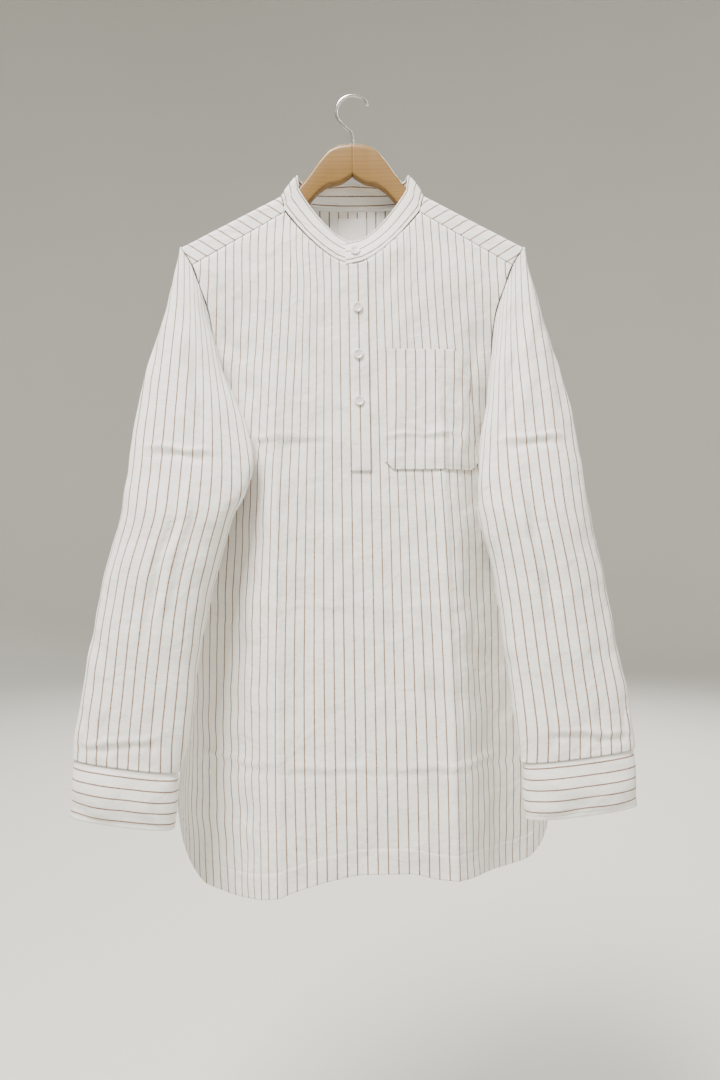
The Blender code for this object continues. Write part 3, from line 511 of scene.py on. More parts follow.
def forward(surface, x, z):
    """Unit normals of a panel towards its front, from small steps down and across."""
    here = surface(x, z)
    step = 0.4
    return unit(np.cross(surface(x, z - step) - here, surface(x + step, z) - here))


def on_front(x, z, raised=0.0):
    """Points on the front with its relief, raised further along its normals."""
    return front_point(x, z) + forward(front_point, x, z) * (front_relief(x, z) + raised)[..., None]


def placket_middle(z):
    """The placket's middle line, which leans a little as the stripes do."""
    return 6.5 + 4.0 * (PLACKET_START - z) / (PLACKET_START - PLACKET_END)


def front_top(x):
    """Height of the front's upper edge: the neck seam, then the yoke's seam."""
    out = np.abs(x)
    neck = smooth(out, FRONT_NECK[:, 0], FRONT_NECK[:, 1])
    seam = FRONT_NECK[-1, 1] - 0.6 * (out - FRONT_NECK[-1, 0])
    return np.where(out < FRONT_NECK[-1, 0], neck, seam)


def front_x(side, share, z):
    """Place across the front at a share of the way from the placket's cut to the edge.

    It keeps to the cloth's grain over most of the way, and only its outer end swings to the edge.
    """
    inner = placket_middle(z) + side * SLOT / 2
    swing = side * (edge_out(z, side) - GRAIN_HALF) - inner
    return inner + side * GRAIN_HALF * share + swing * share ** 5


def panel_heights(top, hem, rows):
    """Heights of a panel's rows: even ones from its upper edge, and closer ones over the hem."""
    upper = top + (hem + HEM_DEEP + 3.0 - top) * np.linspace(0, 1, rows)[:-1, None]
    lower = hem + (HEM_DEEP + 3.0) * np.linspace(1, 0, HEM_ROWS)[:, None]
    return np.concatenate((upper, lower))


def hem_relief(up):
    """The turned hem: its two extra plies stand out a little, and its sewn line sinks in."""
    plies = 0.35 * ease((HEM_DEEP + 0.5 - up) / 1.5)
    return plies - 0.45 * np.exp(-((up - HEM_DEEP) / 0.9) ** 2)


def lengths(points, axis):
    """Way along the cloth to each point, summed from the first one along an axis."""
    step = np.linalg.norm(np.diff(points, axis=axis), axis=-1)
    return np.concatenate((np.zeros_like(step.take([0], axis)), np.cumsum(step, axis)), axis)


def cloth_map(points, zero_column, shift=(0.0, 0.0)):
    """Each point's place in the flat cloth, in metres: across from a column, down from the top."""
    across = lengths(points, 1)
    across -= 0.5 * (across[:, zero_column] + across[:, zero_column + 1])[:, None]
    down = lengths(points, 0)
    down = down - down[:1] - points[:1, :, 2]
    return np.stack((across + shift[0], -down + shift[1]), -1) * MM


def cloth_piece(name, points, uv, nodes, keep=None, thick=0.7, material=None,
                rightwards=True):
    """A cloth piece: its grid as a mesh, given its thickness by Solidify.

    rightwards says that its columns run to the right as its outer face is seen.
    """
    faces = grid_faces(*points.shape[:2])
    if rightwards:
        faces = faces[:, ::-1]
    if keep is not None:
        faces = faces[keep.ravel()]
    used, faces = np.unique(faces, return_inverse=True)
    faces = faces.reshape(-1, 4)
    piece = make_mesh(name, points.reshape(-1, 3)[used], faces, material or striped_cotton,
                      nodes, uv.reshape(-1, 2)[used])
    shell = piece.modifiers.new("thickness", "SOLIDIFY")
    shell.thickness = thick * MM
    shell.offset = 0.0
    return piece


def group(name, inputs, outputs):
    """A shader node group with named number or vector inputs and outputs, and its two end nodes."""
    tree = bpy.data.node_groups.new(name, "ShaderNodeTree")
    for way, sockets in (("INPUT", inputs), ("OUTPUT", outputs)):
        for label, kind in sockets.items():
            tree.interface.new_socket(label, in_out=way, socket_type="NodeSocket" + kind)
    return tree, tree.nodes.new("NodeGroupInput").outputs, tree.nodes.new("NodeGroupOutput").inputs


def maths(tree, operation, first, second=0.0, third=0.0):
    """One Math node; each operand is a number or a socket."""
    return add_node(tree, "ShaderNodeMath", {0: first, 1: second, 2: third},
                    operation=operation).outputs[0]


def pinstripe_group():
    """Thin stripes down the cloth: how near the way across is to a whole number of pitches.

    The line wanders by a fraction of a thread, and its ink pales and darkens along its length.
    """
    tree, given, result = group("pinstripe", {"Cloth": "Vector", "Pitch": "Float",
                                              "Width": "Float"}, {"Mask": "Float"})
    apart = add_node(tree, "ShaderNodeSeparateXYZ", {"Vector": given["Cloth"]}).outputs
    wander = noise(tree, drawn_out(tree, given["Cloth"], (88.0, 60.0, 1.0)), 1.0, 3.0)
    shift = maths(tree, "MULTIPLY_ADD", wander, 0.0006, -0.0003)
    across = maths(tree, "ADD", apart["X"], shift)
    number = maths(tree, "DIVIDE", across, given["Pitch"])
    nearest = maths(tree, "ROUND", number)
    off = maths(tree, "ABSOLUTE", maths(tree, "SUBTRACT", number, nearest))
    distance = maths(tree, "MULTIPLY", off, given["Pitch"])
    half = maths(tree, "MULTIPLY", given["Width"], 0.5)
    outer = maths(tree, "ADD", half, 0.00022)
    line = add_node(tree, "ShaderNodeMapRange", {"Value": distance, "From Min": outer,
                                                 "From Max": half, "To Min": 0.0, "To Max": 1.0},
                    interpolation_type="SMOOTHSTEP")
    yarn = noise(tree, drawn_out(tree, given["Cloth"], (400.0, 700.0, 1.0)), 1.0)
    strength = maths(tree, "MULTIPLY_ADD", yarn, 0.7, 0.55)
    tree.links.new(maths(tree, "MULTIPLY", line.outputs["Result"],
                         maths(tree, "MINIMUM", strength, 1.0)), result["Mask"])
    return tree


def weave_group():
    """Plain weave: crossed waves one thread apart, with thicker slub threads running both ways."""
    tree, given, result = group("plain weave", {"Cloth": "Vector", "Thread": "Float"},
                                {"Height": "Float", "Slub": "Float"})
    apart = add_node(tree, "ShaderNodeSeparateXYZ", {"Vector": given["Cloth"]}).outputs
    waves = []
    for axis in ("X", "Y"):
        turns = maths(tree, "DIVIDE", apart[axis], given["Thread"])
        waves.append(maths(tree, "SINE", maths(tree, "MULTIPLY", turns, 2 * math.pi)))
    crossed = maths(tree, "MULTIPLY", waves[0], waves[1])
    slubs = [noise(tree, drawn_out(tree, given["Cloth"], scale), 1.0)
             for scale in ((1600.0, 30.0, 1.0), (26.0, 1500.0, 1.0))]
    slub = maths(tree, "MULTIPLY", maths(tree, "ADD", slubs[0], slubs[1]), 0.5)
    tree.links.new(maths(tree, "MULTIPLY_ADD", crossed, 0.25, slub), result["Height"])
    tree.links.new(slub, result["Slub"])
    return tree


def crumple_group():
    """Small puckers of washed cotton: noise of two sizes, in metres of cloth."""
    tree, given, result = group("crumple", {"Cloth": "Vector", "Size": "Float"},
                                {"Height": "Float"})
    scale = maths(tree, "DIVIDE", 1.0, given["Size"])
    large = noise(tree, given["Cloth"], scale, Distortion=0.6)
    small = noise(tree, given["Cloth"], maths(tree, "MULTIPLY", scale, 3.6))
    tree.links.new(maths(tree, "MULTIPLY_ADD", small, 0.3, large), result["Height"])
    return tree


def use_group(tree, group_tree, inputs):
    """Places a node group, sets its inputs and gives its outputs."""
    return add_node(tree, "ShaderNodeGroup", inputs, node_tree=group_tree).outputs


STRIPE_PITCH = 11.3
pinstripe = pinstripe_group()
weave = weave_group()
crumple = crumple_group()


def cotton(name, ground, stripe):
    """Washed plain-woven cotton: weave, slubs, puckers and pinstripes."""
    material, shader, tree = new_material(name, ground, 0.85)
    cloth = add_node(tree, "ShaderNodeUVMap", uv_map="cloth").outputs["UV"]
    woven = use_group(tree, weave, {"Cloth": cloth, "Thread": 0.00042})
    puckers = use_group(tree, crumple, {"Cloth": cloth, "Size": 0.028})
    pale = tuple(min(1.0, c * 1.05) for c in ground)
    dull = tuple(c * 0.90 for c in ground)
    tone = colour_steps(tree, woven["Slub"], ((0.36, dull), (0.5, ground), (0.66, pale)))
    mask = use_group(tree, pinstripe, {"Cloth": cloth, "Pitch": STRIPE_PITCH * MM,
                                       "Width": 0.0013})["Mask"]
    soft = bumped(tree, puckers["Height"], 0.8, 0.003)
    set_inputs(tree, shader, {
        "Base Color": mix_colours(tree, mask, tone, (*stripe, 1.0)),
        "Roughness": span(tree, woven["Slub"], (0.3, 0.7), (0.92, 0.74)),
        "Normal": bumped(tree, woven["Height"], 0.35, 0.00022, Normal=soft),
        "Sheen Weight": 0.12, "Sheen Roughness": 0.5, "Specular IOR Level": 0.25})
    return material


striped_cotton = cotton("striped cotton", (0.88, 0.85, 0.80), (0.18, 0.085, 0.035))

halves = []
for side in (-1, 1):
    share = 1 - (1 - np.linspace(0.0, 1.0, 88)) ** 1.2
    inner = placket_middle(PLACKET_START) + side * SLOT / 2
    top_x = inner + (side * YOKE_END - inner) * share
    top = front_top(top_x) - SEAM
    hem = smooth(side * share, FRONT_HEM[:, 0], FRONT_HEM[:, 1])
    z = panel_heights(top, hem, 196)
    x = front_x(side, share, z)
    near_top = ease((z + 240.0) / (top + 240.0))
    x = x + (top_x - front_x(side, share, top)) * near_top
    half = on_front(x, z, hem_relief(z - hem))
    halves.append(half[:, ::-1] if side < 0 else half)
front_points = np.concatenate(halves, axis=1)
cut = front_points.shape[1] // 2 - 1
keep = np.ones((front_points.shape[0] - 1, front_points.shape[1] - 1), bool)
keep[:, cut] = front_points[1:, cut, 2] < PLACKET_END
front_map = cloth_map(front_points, cut)
front_panel = cloth_piece("front_panel", front_points, front_map, ["front"], keep)


# The back: one plain panel of the same cotton, hung from the yoke's seam in four soft waves, its hem
# a little lower in the middle than the front's. Open vents part the two below the side seams.
LAY = WALL + SEAM
QUARTER = SHOULDER_BEND * math.pi / 2
BACK_LEAN = 0.06
NECK_DEEP = 14.0
YOKE_BACK = -218.0
VENT_TOP = -790.0
BACK_HEM = -898.0
BACK_HEM_BOW = 22.0
BACK_HEM_ROUND = 48.0

# Creases of the back, in the same columns as the front's
BACK_CREASES = np.array((
    # start x, start z, end x, end z, half width, out
    (-170.0, -410.0, 20.0, -408.0, 3.6, 1.0),
    (10.0, -411.0, 165.0, -406.0, 3.6, 0.9),
    (-150.0, -601.0, 150.0, -598.0, 4.0, 0.6),
    (-185.0, -778.0, 10.0, -776.0, 3.6, 1.1),
    (0.0, -776.0, 200.0, -779.0, 3.6, 1.0),
    (-92.0, -250.0, -88.0, -880.0, 5.0, 1.6),
    (98.0, -250.0, 104.0, -880.0, 5.0, 1.5),
    (-150.0, -240.0, -120.0, -380.0, 9.0, -1.2),
    (-128.0, -260.0, -104.0, -400.0, 8.0, 0.9),
    (146.0, -240.0, 118.0, -370.0, 9.0, -1.2),
    (124.0, -255.0, 108.0, -400.0, 8.0, 0.9),
    (-30.0, -230.0, -36.0, -520.0, 12.0, 0.9),
    (34.0, -240.0, 28.0, -560.0, 13.0, -0.8),
    (-60.0, -480.0, -52.0, -760.0, 10.0, -1.1),
    (50.0, -500.0, 62.0, -770.0, 11.0, 1.0),
    (-8.0, -560.0, 4.0, -900.0, 12.0, -1.0),
    (140.0, -520.0, 150.0, -760.0, 9.0, 1.1),
    (-140.0, -560.0, -146.0, -800.0, 8.0, -1.0)))


def back_depth(x, z):
    """Depth of the back's plain form: nearly flat, in four soft waves that grow downwards."""
    drop = fold_height(x) - SHOULDER_BEND - z
    neck = NECK_DEEP * np.maximum(1 - (x / NECK_HALF) ** 2, 0.0) * ease(1 - drop / 160.0)
    shoulder = arm_depth(x) + SHOULDER_BEND + BACK_LEAN * drop + neck
    left = -edge_out(z, -1, True)
    right = edge_out(z, 1, True)
    across = (x - left) / (right - left)
    left_seam = np.where(z > UNDERARM, 12.0, column(SIDE, 2, z)) + LAY
    right_seam = np.where(z > UNDERARM, 12.0, column(SIDE, 4, z)) + LAY
    seam = left_seam + (right_seam - left_seam) * across
    open_vent = 5.0 * ease((VENT_TOP - z) / 60.0)
    growth = ease((-z - 250.0) / 500.0)
    bow = np.sin(np.pi * across)
    wave = 17.0 * bow + growth * 12.0 * np.sin(8 * np.pi * across) * bow
    return shoulder + (seam + open_vent + wave - shoulder) * ease((drop - 60.0) / 180.0)


def back_point(x, z):
    """Point of the back's plain form."""
    return np.stack((x, back_depth(x, z), z), -1)


def on_back(x, z, raised=0.0):
    """Points on the back with its relief; outwards is away from the front."""
    edges = ease((edge_out(z, -1, True) - np.abs(x)) / 18.0) * ease((YOKE_BACK - z) / 14.0)
    relief = edges * (creased(x, z, BACK_CREASES) + slight_waves(x, z, 8, 0.5)) + raised
    return back_point(x, z) - forward(back_point, x, z) * relief[..., None]


out = 1 - (1 - np.linspace(0.0, 1.0, 80)) ** 1.2
across = np.concatenate((-out[::-1], out[1:]))
back_hem = BACK_HEM - BACK_HEM_BOW * (1 - across ** 2) + BACK_HEM_ROUND * np.abs(across) ** 14
z = panel_heights(np.full_like(across, YOKE_BACK - SEAM), back_hem, 186)
left = -edge_out(z, -1, True)
right = edge_out(z, 1, True)
x = left + (right - left) * (across + 1) / 2
back_points = on_back(x, z, hem_relief(z - back_hem))[:, ::-1]
back_map = cloth_map(back_points, len(across) // 2, (STRIPE_PITCH / 2, 1700.0))
back_panel = cloth_piece("back_panel", back_points, back_map, ["back"])


# The yoke: one piece over both shoulders, from the front seams over the hanger's arms down to the
# back panel. It is cut with its stripes down the back, so they slant where it turns forward.
YOKE_NECK = np.array((
    # across, along the cloth, across where the same grain line meets the back seam
    (79.0, -28.0, 112.0), (81.0, -18.0, 107.0), (82.5, -12.5, 103.0), (83.5, -8.0, 100.0),
    (84.2, -4.0, 97.0), (84.5, 0.0, 93.0), (83.5, 4.0, 89.0), (80.0, 8.5, 83.0),
    (70.0, 12.0, 71.0), (45.0, 12.5, 46.0), (22.0, 12.5, 22.5), (0.0, 12.5, 0.0)))


def shoulder_point(x, along):
    """Point of the yoke: the cloth goes up the front, over the round fold, and down the back."""
    top = fold_height(x)
    turn = np.clip(along, -QUARTER, QUARTER) / SHOULDER_BEND
    past = np.maximum(np.abs(along) - QUARTER, 0.0)
    lean = np.where(along < 0, -FRONT_LEAN, BACK_LEAN) * past
    neck = NECK_DEEP * np.maximum(1 - (x / NECK_HALF) ** 2, 0.0) * ease(1 - past / 160.0)
    y = arm_depth(x) + SHOULDER_BEND * np.sin(turn) + lean + neck * ease(along / QUARTER)
    z = top - SHOULDER_BEND * (1 - np.cos(turn)) - past
    return np.stack((x, y, z), -1)


def yoke_edge(along):
    """Place across where the yoke's outer edge lies, from the way along the cloth."""
    x = np.full_like(along, 195.0)
    for step in range(5):
        z = shoulder_point(x, along)[..., 2]
        x = np.where(along < 0, edge_out(z, -1), edge_out(z, -1, True))
    return x


def resample(points, count, axis, ring=False):
    """Points between the given ones on a Catmull-Rom curve along one axis; a ring closes on it."""
    points = np.moveaxis(points, axis, 0)
    given = len(points)
    place = np.linspace(0, given if ring else given - 1, count)
    first = np.floor(place).astype(int)
    if not ring:
        first = np.minimum(first, given - 2)
    t = (place - first).reshape((-1,) + (1,) * (points.ndim - 1))

    def near(step):
        number = (first + step) % given if ring else np.clip(first + step, 0, given - 1)
        return points[number]

    a, b, c, d = near(-1), near(0), near(1), near(2)
    curve = 0.5 * (2 * b + (c - a) * t + (2 * a - 5 * b + 4 * c - d) * t ** 2
                   + (3 * b - a - 3 * c + d) * t ** 3)
    return np.moveaxis(curve, 0, axis)


def yoke_half(seam_count):
    """One half of the yoke: places across, ways along the cloth, and its grain lines.

    The grain runs straight down the back. Mirrored in the sloping shoulder fold, it slants inwards
    and down in front, so a grain line's number grows there with the way from the fold.
    """
    seam_x = np.linspace(YOKE_END, YOKE_NECK[0, 0], seam_count)
    seam_drop = fold_height(seam_x) - SHOULDER_BEND - front_top(seam_x) - SEAM
    seam_end = np.linspace(191.0, YOKE_NECK[0, 2], seam_count)
    start_x = np.concatenate((seam_x, YOKE_NECK[1:, 0]))
    start_w = np.concatenate((-(QUARTER + seam_drop), YOKE_NECK[1:, 1]))
    end_x = np.concatenate((seam_end, YOKE_NECK[1:, 2]))
    end_w = QUARTER + fold_height(end_x) - SHOULDER_BEND - YOKE_BACK - SEAM
    arc = QUARTER * np.linspace(-1, 1, 15)[:, None]
    lead = np.minimum(start_w, -QUARTER - 1.0)
    before = lead + (-QUARTER - lead) * np.linspace(0, 0.9, 9)[:, None]
    after = QUARTER + (end_w - QUARTER) * np.linspace(0.06, 1, 20)[:, None]
    crossing = np.concatenate((before, arc * np.ones_like(start_w), after))
    least = start_w + 0.1 * np.arange(len(crossing))[:, None]
    along = np.maximum(crossing, least)
    share = np.sqrt((along - along[0]) / (along[-1] - along[0]))
    x = start_x + (end_x - start_x) * share
    outermost = np.linspace(1.0, 0.0, seam_count) ** 2
    edge = yoke_edge(along[:, 0]) - SEAM / 2
    x[:, :seam_count] += (edge - x[:, 0])[:, None] * outermost
    slant = math.sin(2 * math.atan(SHOULDER_FALL))
    return x, along, x + slant * np.maximum(-along, 0.0)


def over_shoulder(x, along, raised):
    """Points of the yoke raised from its plain form along its normals."""
    facing = unit(np.cross(shoulder_point(x + 6.0, along) - shoulder_point(x - 6.0, along),
                           shoulder_point(x, along + 1.0) - shoulder_point(x, along - 1.0)))
    return shoulder_point(x, along) + facing * raised[..., None]


x, along, grain = (resample(part, 84, 1) for part in yoke_half(14))
x = np.concatenate((-x, x[:, -2::-1]), axis=1)
along = np.concatenate((along, along[:, -2::-1]), axis=1)
grain = np.concatenate((-grain, grain[:, -2::-1]), axis=1)
relief = 0.25 * slight_waves(x, along, 5, 1.0) * ease((along + 40.0) / 60.0)
yoke_points = over_shoulder(x, along, relief)
yoke_map = np.stack((grain + STRIPE_PITCH / 2, -along + 900.0), -1) * MM
yoke_panel = cloth_piece("yoke_panel", yoke_points, yoke_map, ["yoke"], rightwards=False)


# The stand collar: a doubled, stiffened band 32 mm high, sewn round the neck and lapped at the
# front, with its stripes running round it.
BAND_HEIGHT = 32.0
BAND_LIFT = 0.06
LAP = 1.5


def neck_half(side):
    """The neck seam of one side, from the placket's cut to the middle of the back."""
    share = 1 - (1 - np.linspace(0.0, 1.0, 17)) ** 1.35
    inner = placket_middle(PLACKET_START) + side * SLOT / 2
    corner = (FRONT_NECK[-1, 0] - side * inner) / (YOKE_END - side * inner)
    share[np.argmin(np.abs(share - corner))] = corner
    x = inner + (side * YOKE_END - inner) * share
    x = x[np.abs(x) <= FRONT_NECK[-1, 0] + 0.01]
    z = front_top(x)
    front = np.stack((x, front_depth(x, z), z), -1)
    back = shoulder_point(YOKE_NECK[1:, 0], YOKE_NECK[1:, 1]) * (side, 1, 1)
    return np.concatenate((front, back))


def band_rise(path, side):
    """How the band rises from the seam: inwards, back and up, over its height."""
    length = np.concatenate(((0.0,), np.cumsum(np.linalg.norm(np.diff(path, axis=0), axis=1))))
    share = length / length[-1]
    inward = smooth(share, np.array((0.0, 0.3, 0.6, 0.8, 1.0)), np.array((0.0, 11, 19, 14, 0)))
    behind = smooth(share, np.array((0.0, 0.3, 0.6, 1.0)), np.array((11.0, 8, 0, -3)))
    up = np.sqrt(BAND_HEIGHT ** 2 - inward ** 2 - behind ** 2)
    return np.stack((-side * inward, behind, up), -1)


def collar_grid(rows):
    """Grid of the stand collar, open at the front, its right end lapped slanting over its left."""
    right, left = neck_half(1), neck_half(-1)
    rise_right, rise_left = band_rise(right, 1), band_rise(left, -1)
    over = right[:1] + np.array(((-20.5, 0.0, -5.2), (-9.0, 0.0, -2.6)))
    under = left[:1] + np.array(((7.0, 0.0, -0.3), (14.0, 0.0, -0.3)))
    base = np.concatenate((over, right, left[-2::-1], under))
    rise = np.concatenate((rise_right[:1], rise_right[:1], rise_right,
                           rise_left[-2::-1], rise_left[:1], rise_left[:1]))
    number = np.arange(len(base))
    near_end = np.exp(-(np.minimum(number, number[::-1]) / 5.0) ** 2)
    base[:, 1] += np.where(number < len(base) / 2, -LAP, LAP) * near_end
    rings = []
    for t in np.linspace(0, 1, rows):
        bow = 1.5 * math.sin(math.pi * t)
        point = base + rise * (BAND_LIFT + (1 - BAND_LIFT) * t)
        point[:, 0] -= np.sign(rise[:, 0]) * bow * (np.abs(rise[:, 0]) > 6)
        rings.append(point)
    return np.array(rings)


def surface_normals(points):
    """Unit normals of a grid of points, from the cross product of its two directions."""
    return unit(np.cross(np.gradient(points, axis=1), np.gradient(points, axis=0)))


collar_points = resample(resample(collar_grid(4), 34, 0), 330, 1)[::-1]
height_up = lengths(collar_points[::-1], 0)[::-1]
round_neck = lengths(collar_points, 1)
edge_line = np.exp(-((np.minimum(height_up, BAND_HEIGHT - height_up) - 3.0) / 0.9) ** 2)
pucker = 0.28 * np.sin(round_neck / 2.1 + 2.0 * np.sin(round_neck / 17.0)) * edge_line
soft_bend = 0.5 * np.sin(round_neck / 21.0 + height_up / 9.0) * np.sin(np.pi * height_up / 32.0)
facing = -surface_normals(collar_points)
collar_points = collar_points + facing * (pucker - 0.45 * edge_line + soft_bend)[..., None]
collar_map = np.stack((height_up - 5.2, round_neck + 2500.0), -1) * MM
stand_collar = cloth_piece("stand_collar", collar_points, collar_map, ["collar_band"], thick=1.5)


# The half placket: two bands of doubled cloth. The upper one lies on the front with a stripe down
# its middle and is boxed with a sewn square at its foot; the under one lies behind the slit.
PLACKET_WIDTH = 23.0
PLACKET_BOX = 29.0
BUTTON_LEVELS = (-259.0, -314.0, -368.0)


def placket_band(name, node, plies, half_width):
    """A band on the front from the neck to the slit's end, a little puckered by its buttons."""
    over = np.linspace(-half_width, half_width, 26) * np.ones((150, 1))
    top = front_top(placket_middle(FRONT_NECK[0, 1]) + over) - 1.2
    z = top + (PLACKET_END - top) * np.linspace(0, 1, 150)[:, None]
    pull = sum(0.5 * np.exp(-((z - level) / 5.0) ** 2) * np.cos((z - level) / 2.2)
               for level in BUTTON_LEVELS)
    slack = 0.35 * slight_waves(over, z, 12, 1.0) + 0.25 * np.sin(z / 6.5 + over / 5.0)
    sewn = np.exp(-((half_width - 2.0 - np.abs(over)) / 0.8) ** 2)
    sewn = np.maximum(sewn, np.exp(-((z - PLACKET_END - 2.0) / 0.8) ** 2))
    sewn = np.maximum(sewn, np.exp(-((z - PLACKET_END - PLACKET_BOX) / 0.8) ** 2))
    relief = (0.25 + 0.22 * (pull + slack) * (1 - sewn) - 0.3 * sewn) * np.sign(plies)
    x = placket_middle(z) + over
    points = on_front(x, z, plies * LAY + relief)
    band_map = np.stack((over, z - 60.0 * plies), -1) * MM
    return cloth_piece(name, points, band_map, [node], thick=0.9)


upper_band = placket_band("placket_upper_band", "placket_upper", 1.0, PLACKET_WIDTH / 2)
under_band = placket_band("placket_under_band", "placket_under", -1.0, PLACKET_WIDTH / 2)


# The chest pocket: one ply with a hemmed mouth, two corners cut off, sewn on flat so that its
# stripes nearly meet the front's, across the right pressed fold.
POCKET_LEFT, POCKET_RIGHT = 36.0, 138.0
POCKET_TOP, POCKET_BOTTOM = -308.0, -447.0
POCKET_CORNER = 11.0
POCKET_MOUTH = 22.0

middle = (POCKET_TOP + POCKET_BOTTOM) / 2
inner = placket_middle(middle) + SLOT / 2
reach = np.array((POCKET_LEFT, POCKET_LEFT + POCKET_CORNER,
                  POCKET_RIGHT - POCKET_CORNER, POCKET_RIGHT))
finder = np.linspace(0, 1, 2001)
ends = np.interp(reach, front_x(1, finder, middle), finder)
share = np.concatenate((np.linspace(ends[0], ends[1], 12)[:-1], np.linspace(ends[1], ends[2], 72),
                        np.linspace(ends[2], ends[3], 12)[1:]))
at_corner = np.maximum(ease((ends[1] - share) / (ends[1] - ends[0])),
                       ease((share - ends[2]) / (ends[3] - ends[2])))
lip = POCKET_TOP - 9.0 * ease((share - 0.62) / 0.2)
foot = POCKET_BOTTOM + 0.8 * POCKET_CORNER * at_corner
z = lip + (foot - lip) * np.linspace(0, 1, 120)[:, None]
share = share * np.ones_like(z)
x = front_x(1, share, z)
in_from_side = np.minimum(x - x[:, :1], x[:, -1:] - x)
in_from_foot = z - foot
below_lip = lip - z
sewn = np.exp(-((np.minimum(in_from_side, in_from_foot) - 2.0) / 0.8) ** 2)
sewn = np.maximum(sewn, np.exp(-((below_lip - POCKET_MOUTH) / 0.8) ** 2))
slack = ease(np.minimum(in_from_side, in_from_foot) / 16.0)
sag = slack * (0.9 + 0.6 * slight_waves(x, z, 21, 1.0)) * ease((POCKET_TOP - z + 30.0) / 60.0)
mouth = 0.5 * np.exp(-(below_lip / 9.0) ** 2) * slack
pocket_points = on_front(x, z, 1.3 * LAY + sag + mouth - 0.35 * sewn)
beside = np.abs(front_points[..., 2] - middle).argmin(axis=0)
front_row = front_points[beside, np.arange(front_points.shape[1])]
map_row = front_map[beside, np.arange(front_points.shape[1]), 0]
start = np.interp(x[60, 0], front_row[:, 0], map_row) / MM + 0.9
pocket_across = lengths(pocket_points, 1) + start
pocket_map = np.stack((pocket_across, z - 40.0), -1) * MM
pocket_patch = cloth_piece("pocket_patch", pocket_points, pocket_map, ["pocket"])


# The sleeves: each one long piece, set in at the armhole and closed by a seam under the arm. They
# hang forward of the body and lie flattened, turned so that their stripes face the front.
SLEEVE_TURN = math.radians(60.0)
SLEEVE_ROWS = 236
SLEEVE_COLUMNS = 150
LOOP_POINTS = 28
LOOP_SEAM = 14
CROWN_OUT = 13.0
BULGE_LEFT = 35.0
BULGE_RIGHT = 8.0
BULGE_FORWARD = 9.0
CLEAR = 2.8
CLEAR_BELOW = 4.0

# Sleeves below the armhole: middle, half width and half depth of each ring
SLEEVE_LEFT = np.array((
    # height, middle x, middle y, half width, half depth
    (-500.0, -194.0, -64.0, 62.0, 34.0),
    (-565.0, -211.0, -71.0, 60.5, 34.0),
    (-650.0, -226.0, -82.0, 58.5, 30.0),
    (-737.0, -236.0, -94.0, 60.0, 24.0),
    (-768.0, -242.0, -99.0, 57.0, 20.0)))
SLEEVE_RIGHT = np.array((
    # height, middle x, middle y, half width, half depth
    (-500.0, 204.0, -58.0, 62.0, 34.0),
    (-565.0, 218.0, -65.0, 60.0, 33.0),
    (-650.0, 230.0, -76.0, 60.5, 30.0),
    (-737.0, 242.0, -91.0, 62.0, 24.0),
    (-758.0, 244.0, -95.0, 61.0, 20.0)))

# Creases of a sleeve: way round is in mm from its outer edge, positive over the front
LEFT_SLEEVE_CREASES = np.array((
    # start round, start z, end round, end z, half width, out
    (36.0, -423.0, 128.0, -431.0, 3.4, 1.7),
    (40.0, -431.0, 118.0, -438.0, 4.5, -1.2),
    (60.0, -250.0, 92.0, -420.0, 9.0, 1.8),
    (88.0, -300.0, 112.0, -430.0, 6.0, -1.5),
    (30.0, -220.0, 44.0, -420.0, 10.0, -1.0),
    (96.0, -440.0, 92.0, -640.0, 5.0, 2.2),
    (84.0, -450.0, 80.0, -650.0, 5.5, -2.0),
    (72.0, -450.0, 74.0, -700.0, 7.0, 1.2),
    (30.0, -460.0, 34.0, -720.0, 10.0, -0.9),
    (8.0, -744.0, 116.0, -736.0, 3.2, 1.1),
    (6.0, -751.0, 118.0, -743.0, 4.2, -0.8),
    (22.0, -700.0, 24.0, -764.0, 4.5, -1.1),
    (46.0, -706.0, 50.0, -764.0, 5.0, -1.2),
    (70.0, -690.0, 76.0, -764.0, 5.0, -1.3),
    (96.0, -700.0, 98.0, -764.0, 4.5, -1.0),
    (-60.0, -430.0, -150.0, -436.0, 4.0, 1.3),
    (-50.0, -480.0, -46.0, -720.0, 8.0, 1.6),
    (-90.0, -500.0, -96.0, -740.0, 9.0, -1.6)))
RIGHT_SLEEVE_CREASES = np.array((
    # start round, start z, end round, end z, half width, out
    (30.0, -408.0, 126.0, -417.0, 3.4, 1.6),
    (34.0, -416.0, 118.0, -425.0, 4.5, -1.2),
    (58.0, -240.0, 86.0, -410.0, 9.0, 1.8),
    (84.0, -290.0, 110.0, -420.0, 6.0, -1.5),
    (28.0, -220.0, 40.0, -410.0, 10.0, -1.0),
    (100.0, -430.0, 96.0, -620.0, 5.5, 2.0),
    (88.0, -440.0, 84.0, -640.0, 6.0, -1.9),
    (60.0, -470.0, 66.0, -700.0, 9.0, 1.0),
    (26.0, -460.0, 32.0, -700.0, 10.0, -0.8),
    (6.0, -733.0, 118.0, -728.0, 3.2, 1.1),
    (6.0, -740.0, 118.0, -735.0, 4.2, -0.8),
    (20.0, -690.0, 24.0, -754.0, 4.5, -1.1),
    (48.0, -690.0, 50.0, -754.0, 5.0, -1.3),
    (66.0, -700.0, 70.0, -754.0, 4.5, -1.0),
    (98.0, -690.0, 100.0, -754.0, 4.5, -1.1),
    (-60.0, -420.0, -150.0, -426.0, 4.0, 1.3),
    (-52.0, -480.0, -46.0, -710.0, 8.0, 1.5),
    (-92.0, -500.0, -96.0, -730.0, 9.0, -1.6)))
LEVELS = np.array((-240.0, -265.0, -290.0, -320.0, -350.0, -375.0, -400.0, -425.0, -437.0, UNDERARM))


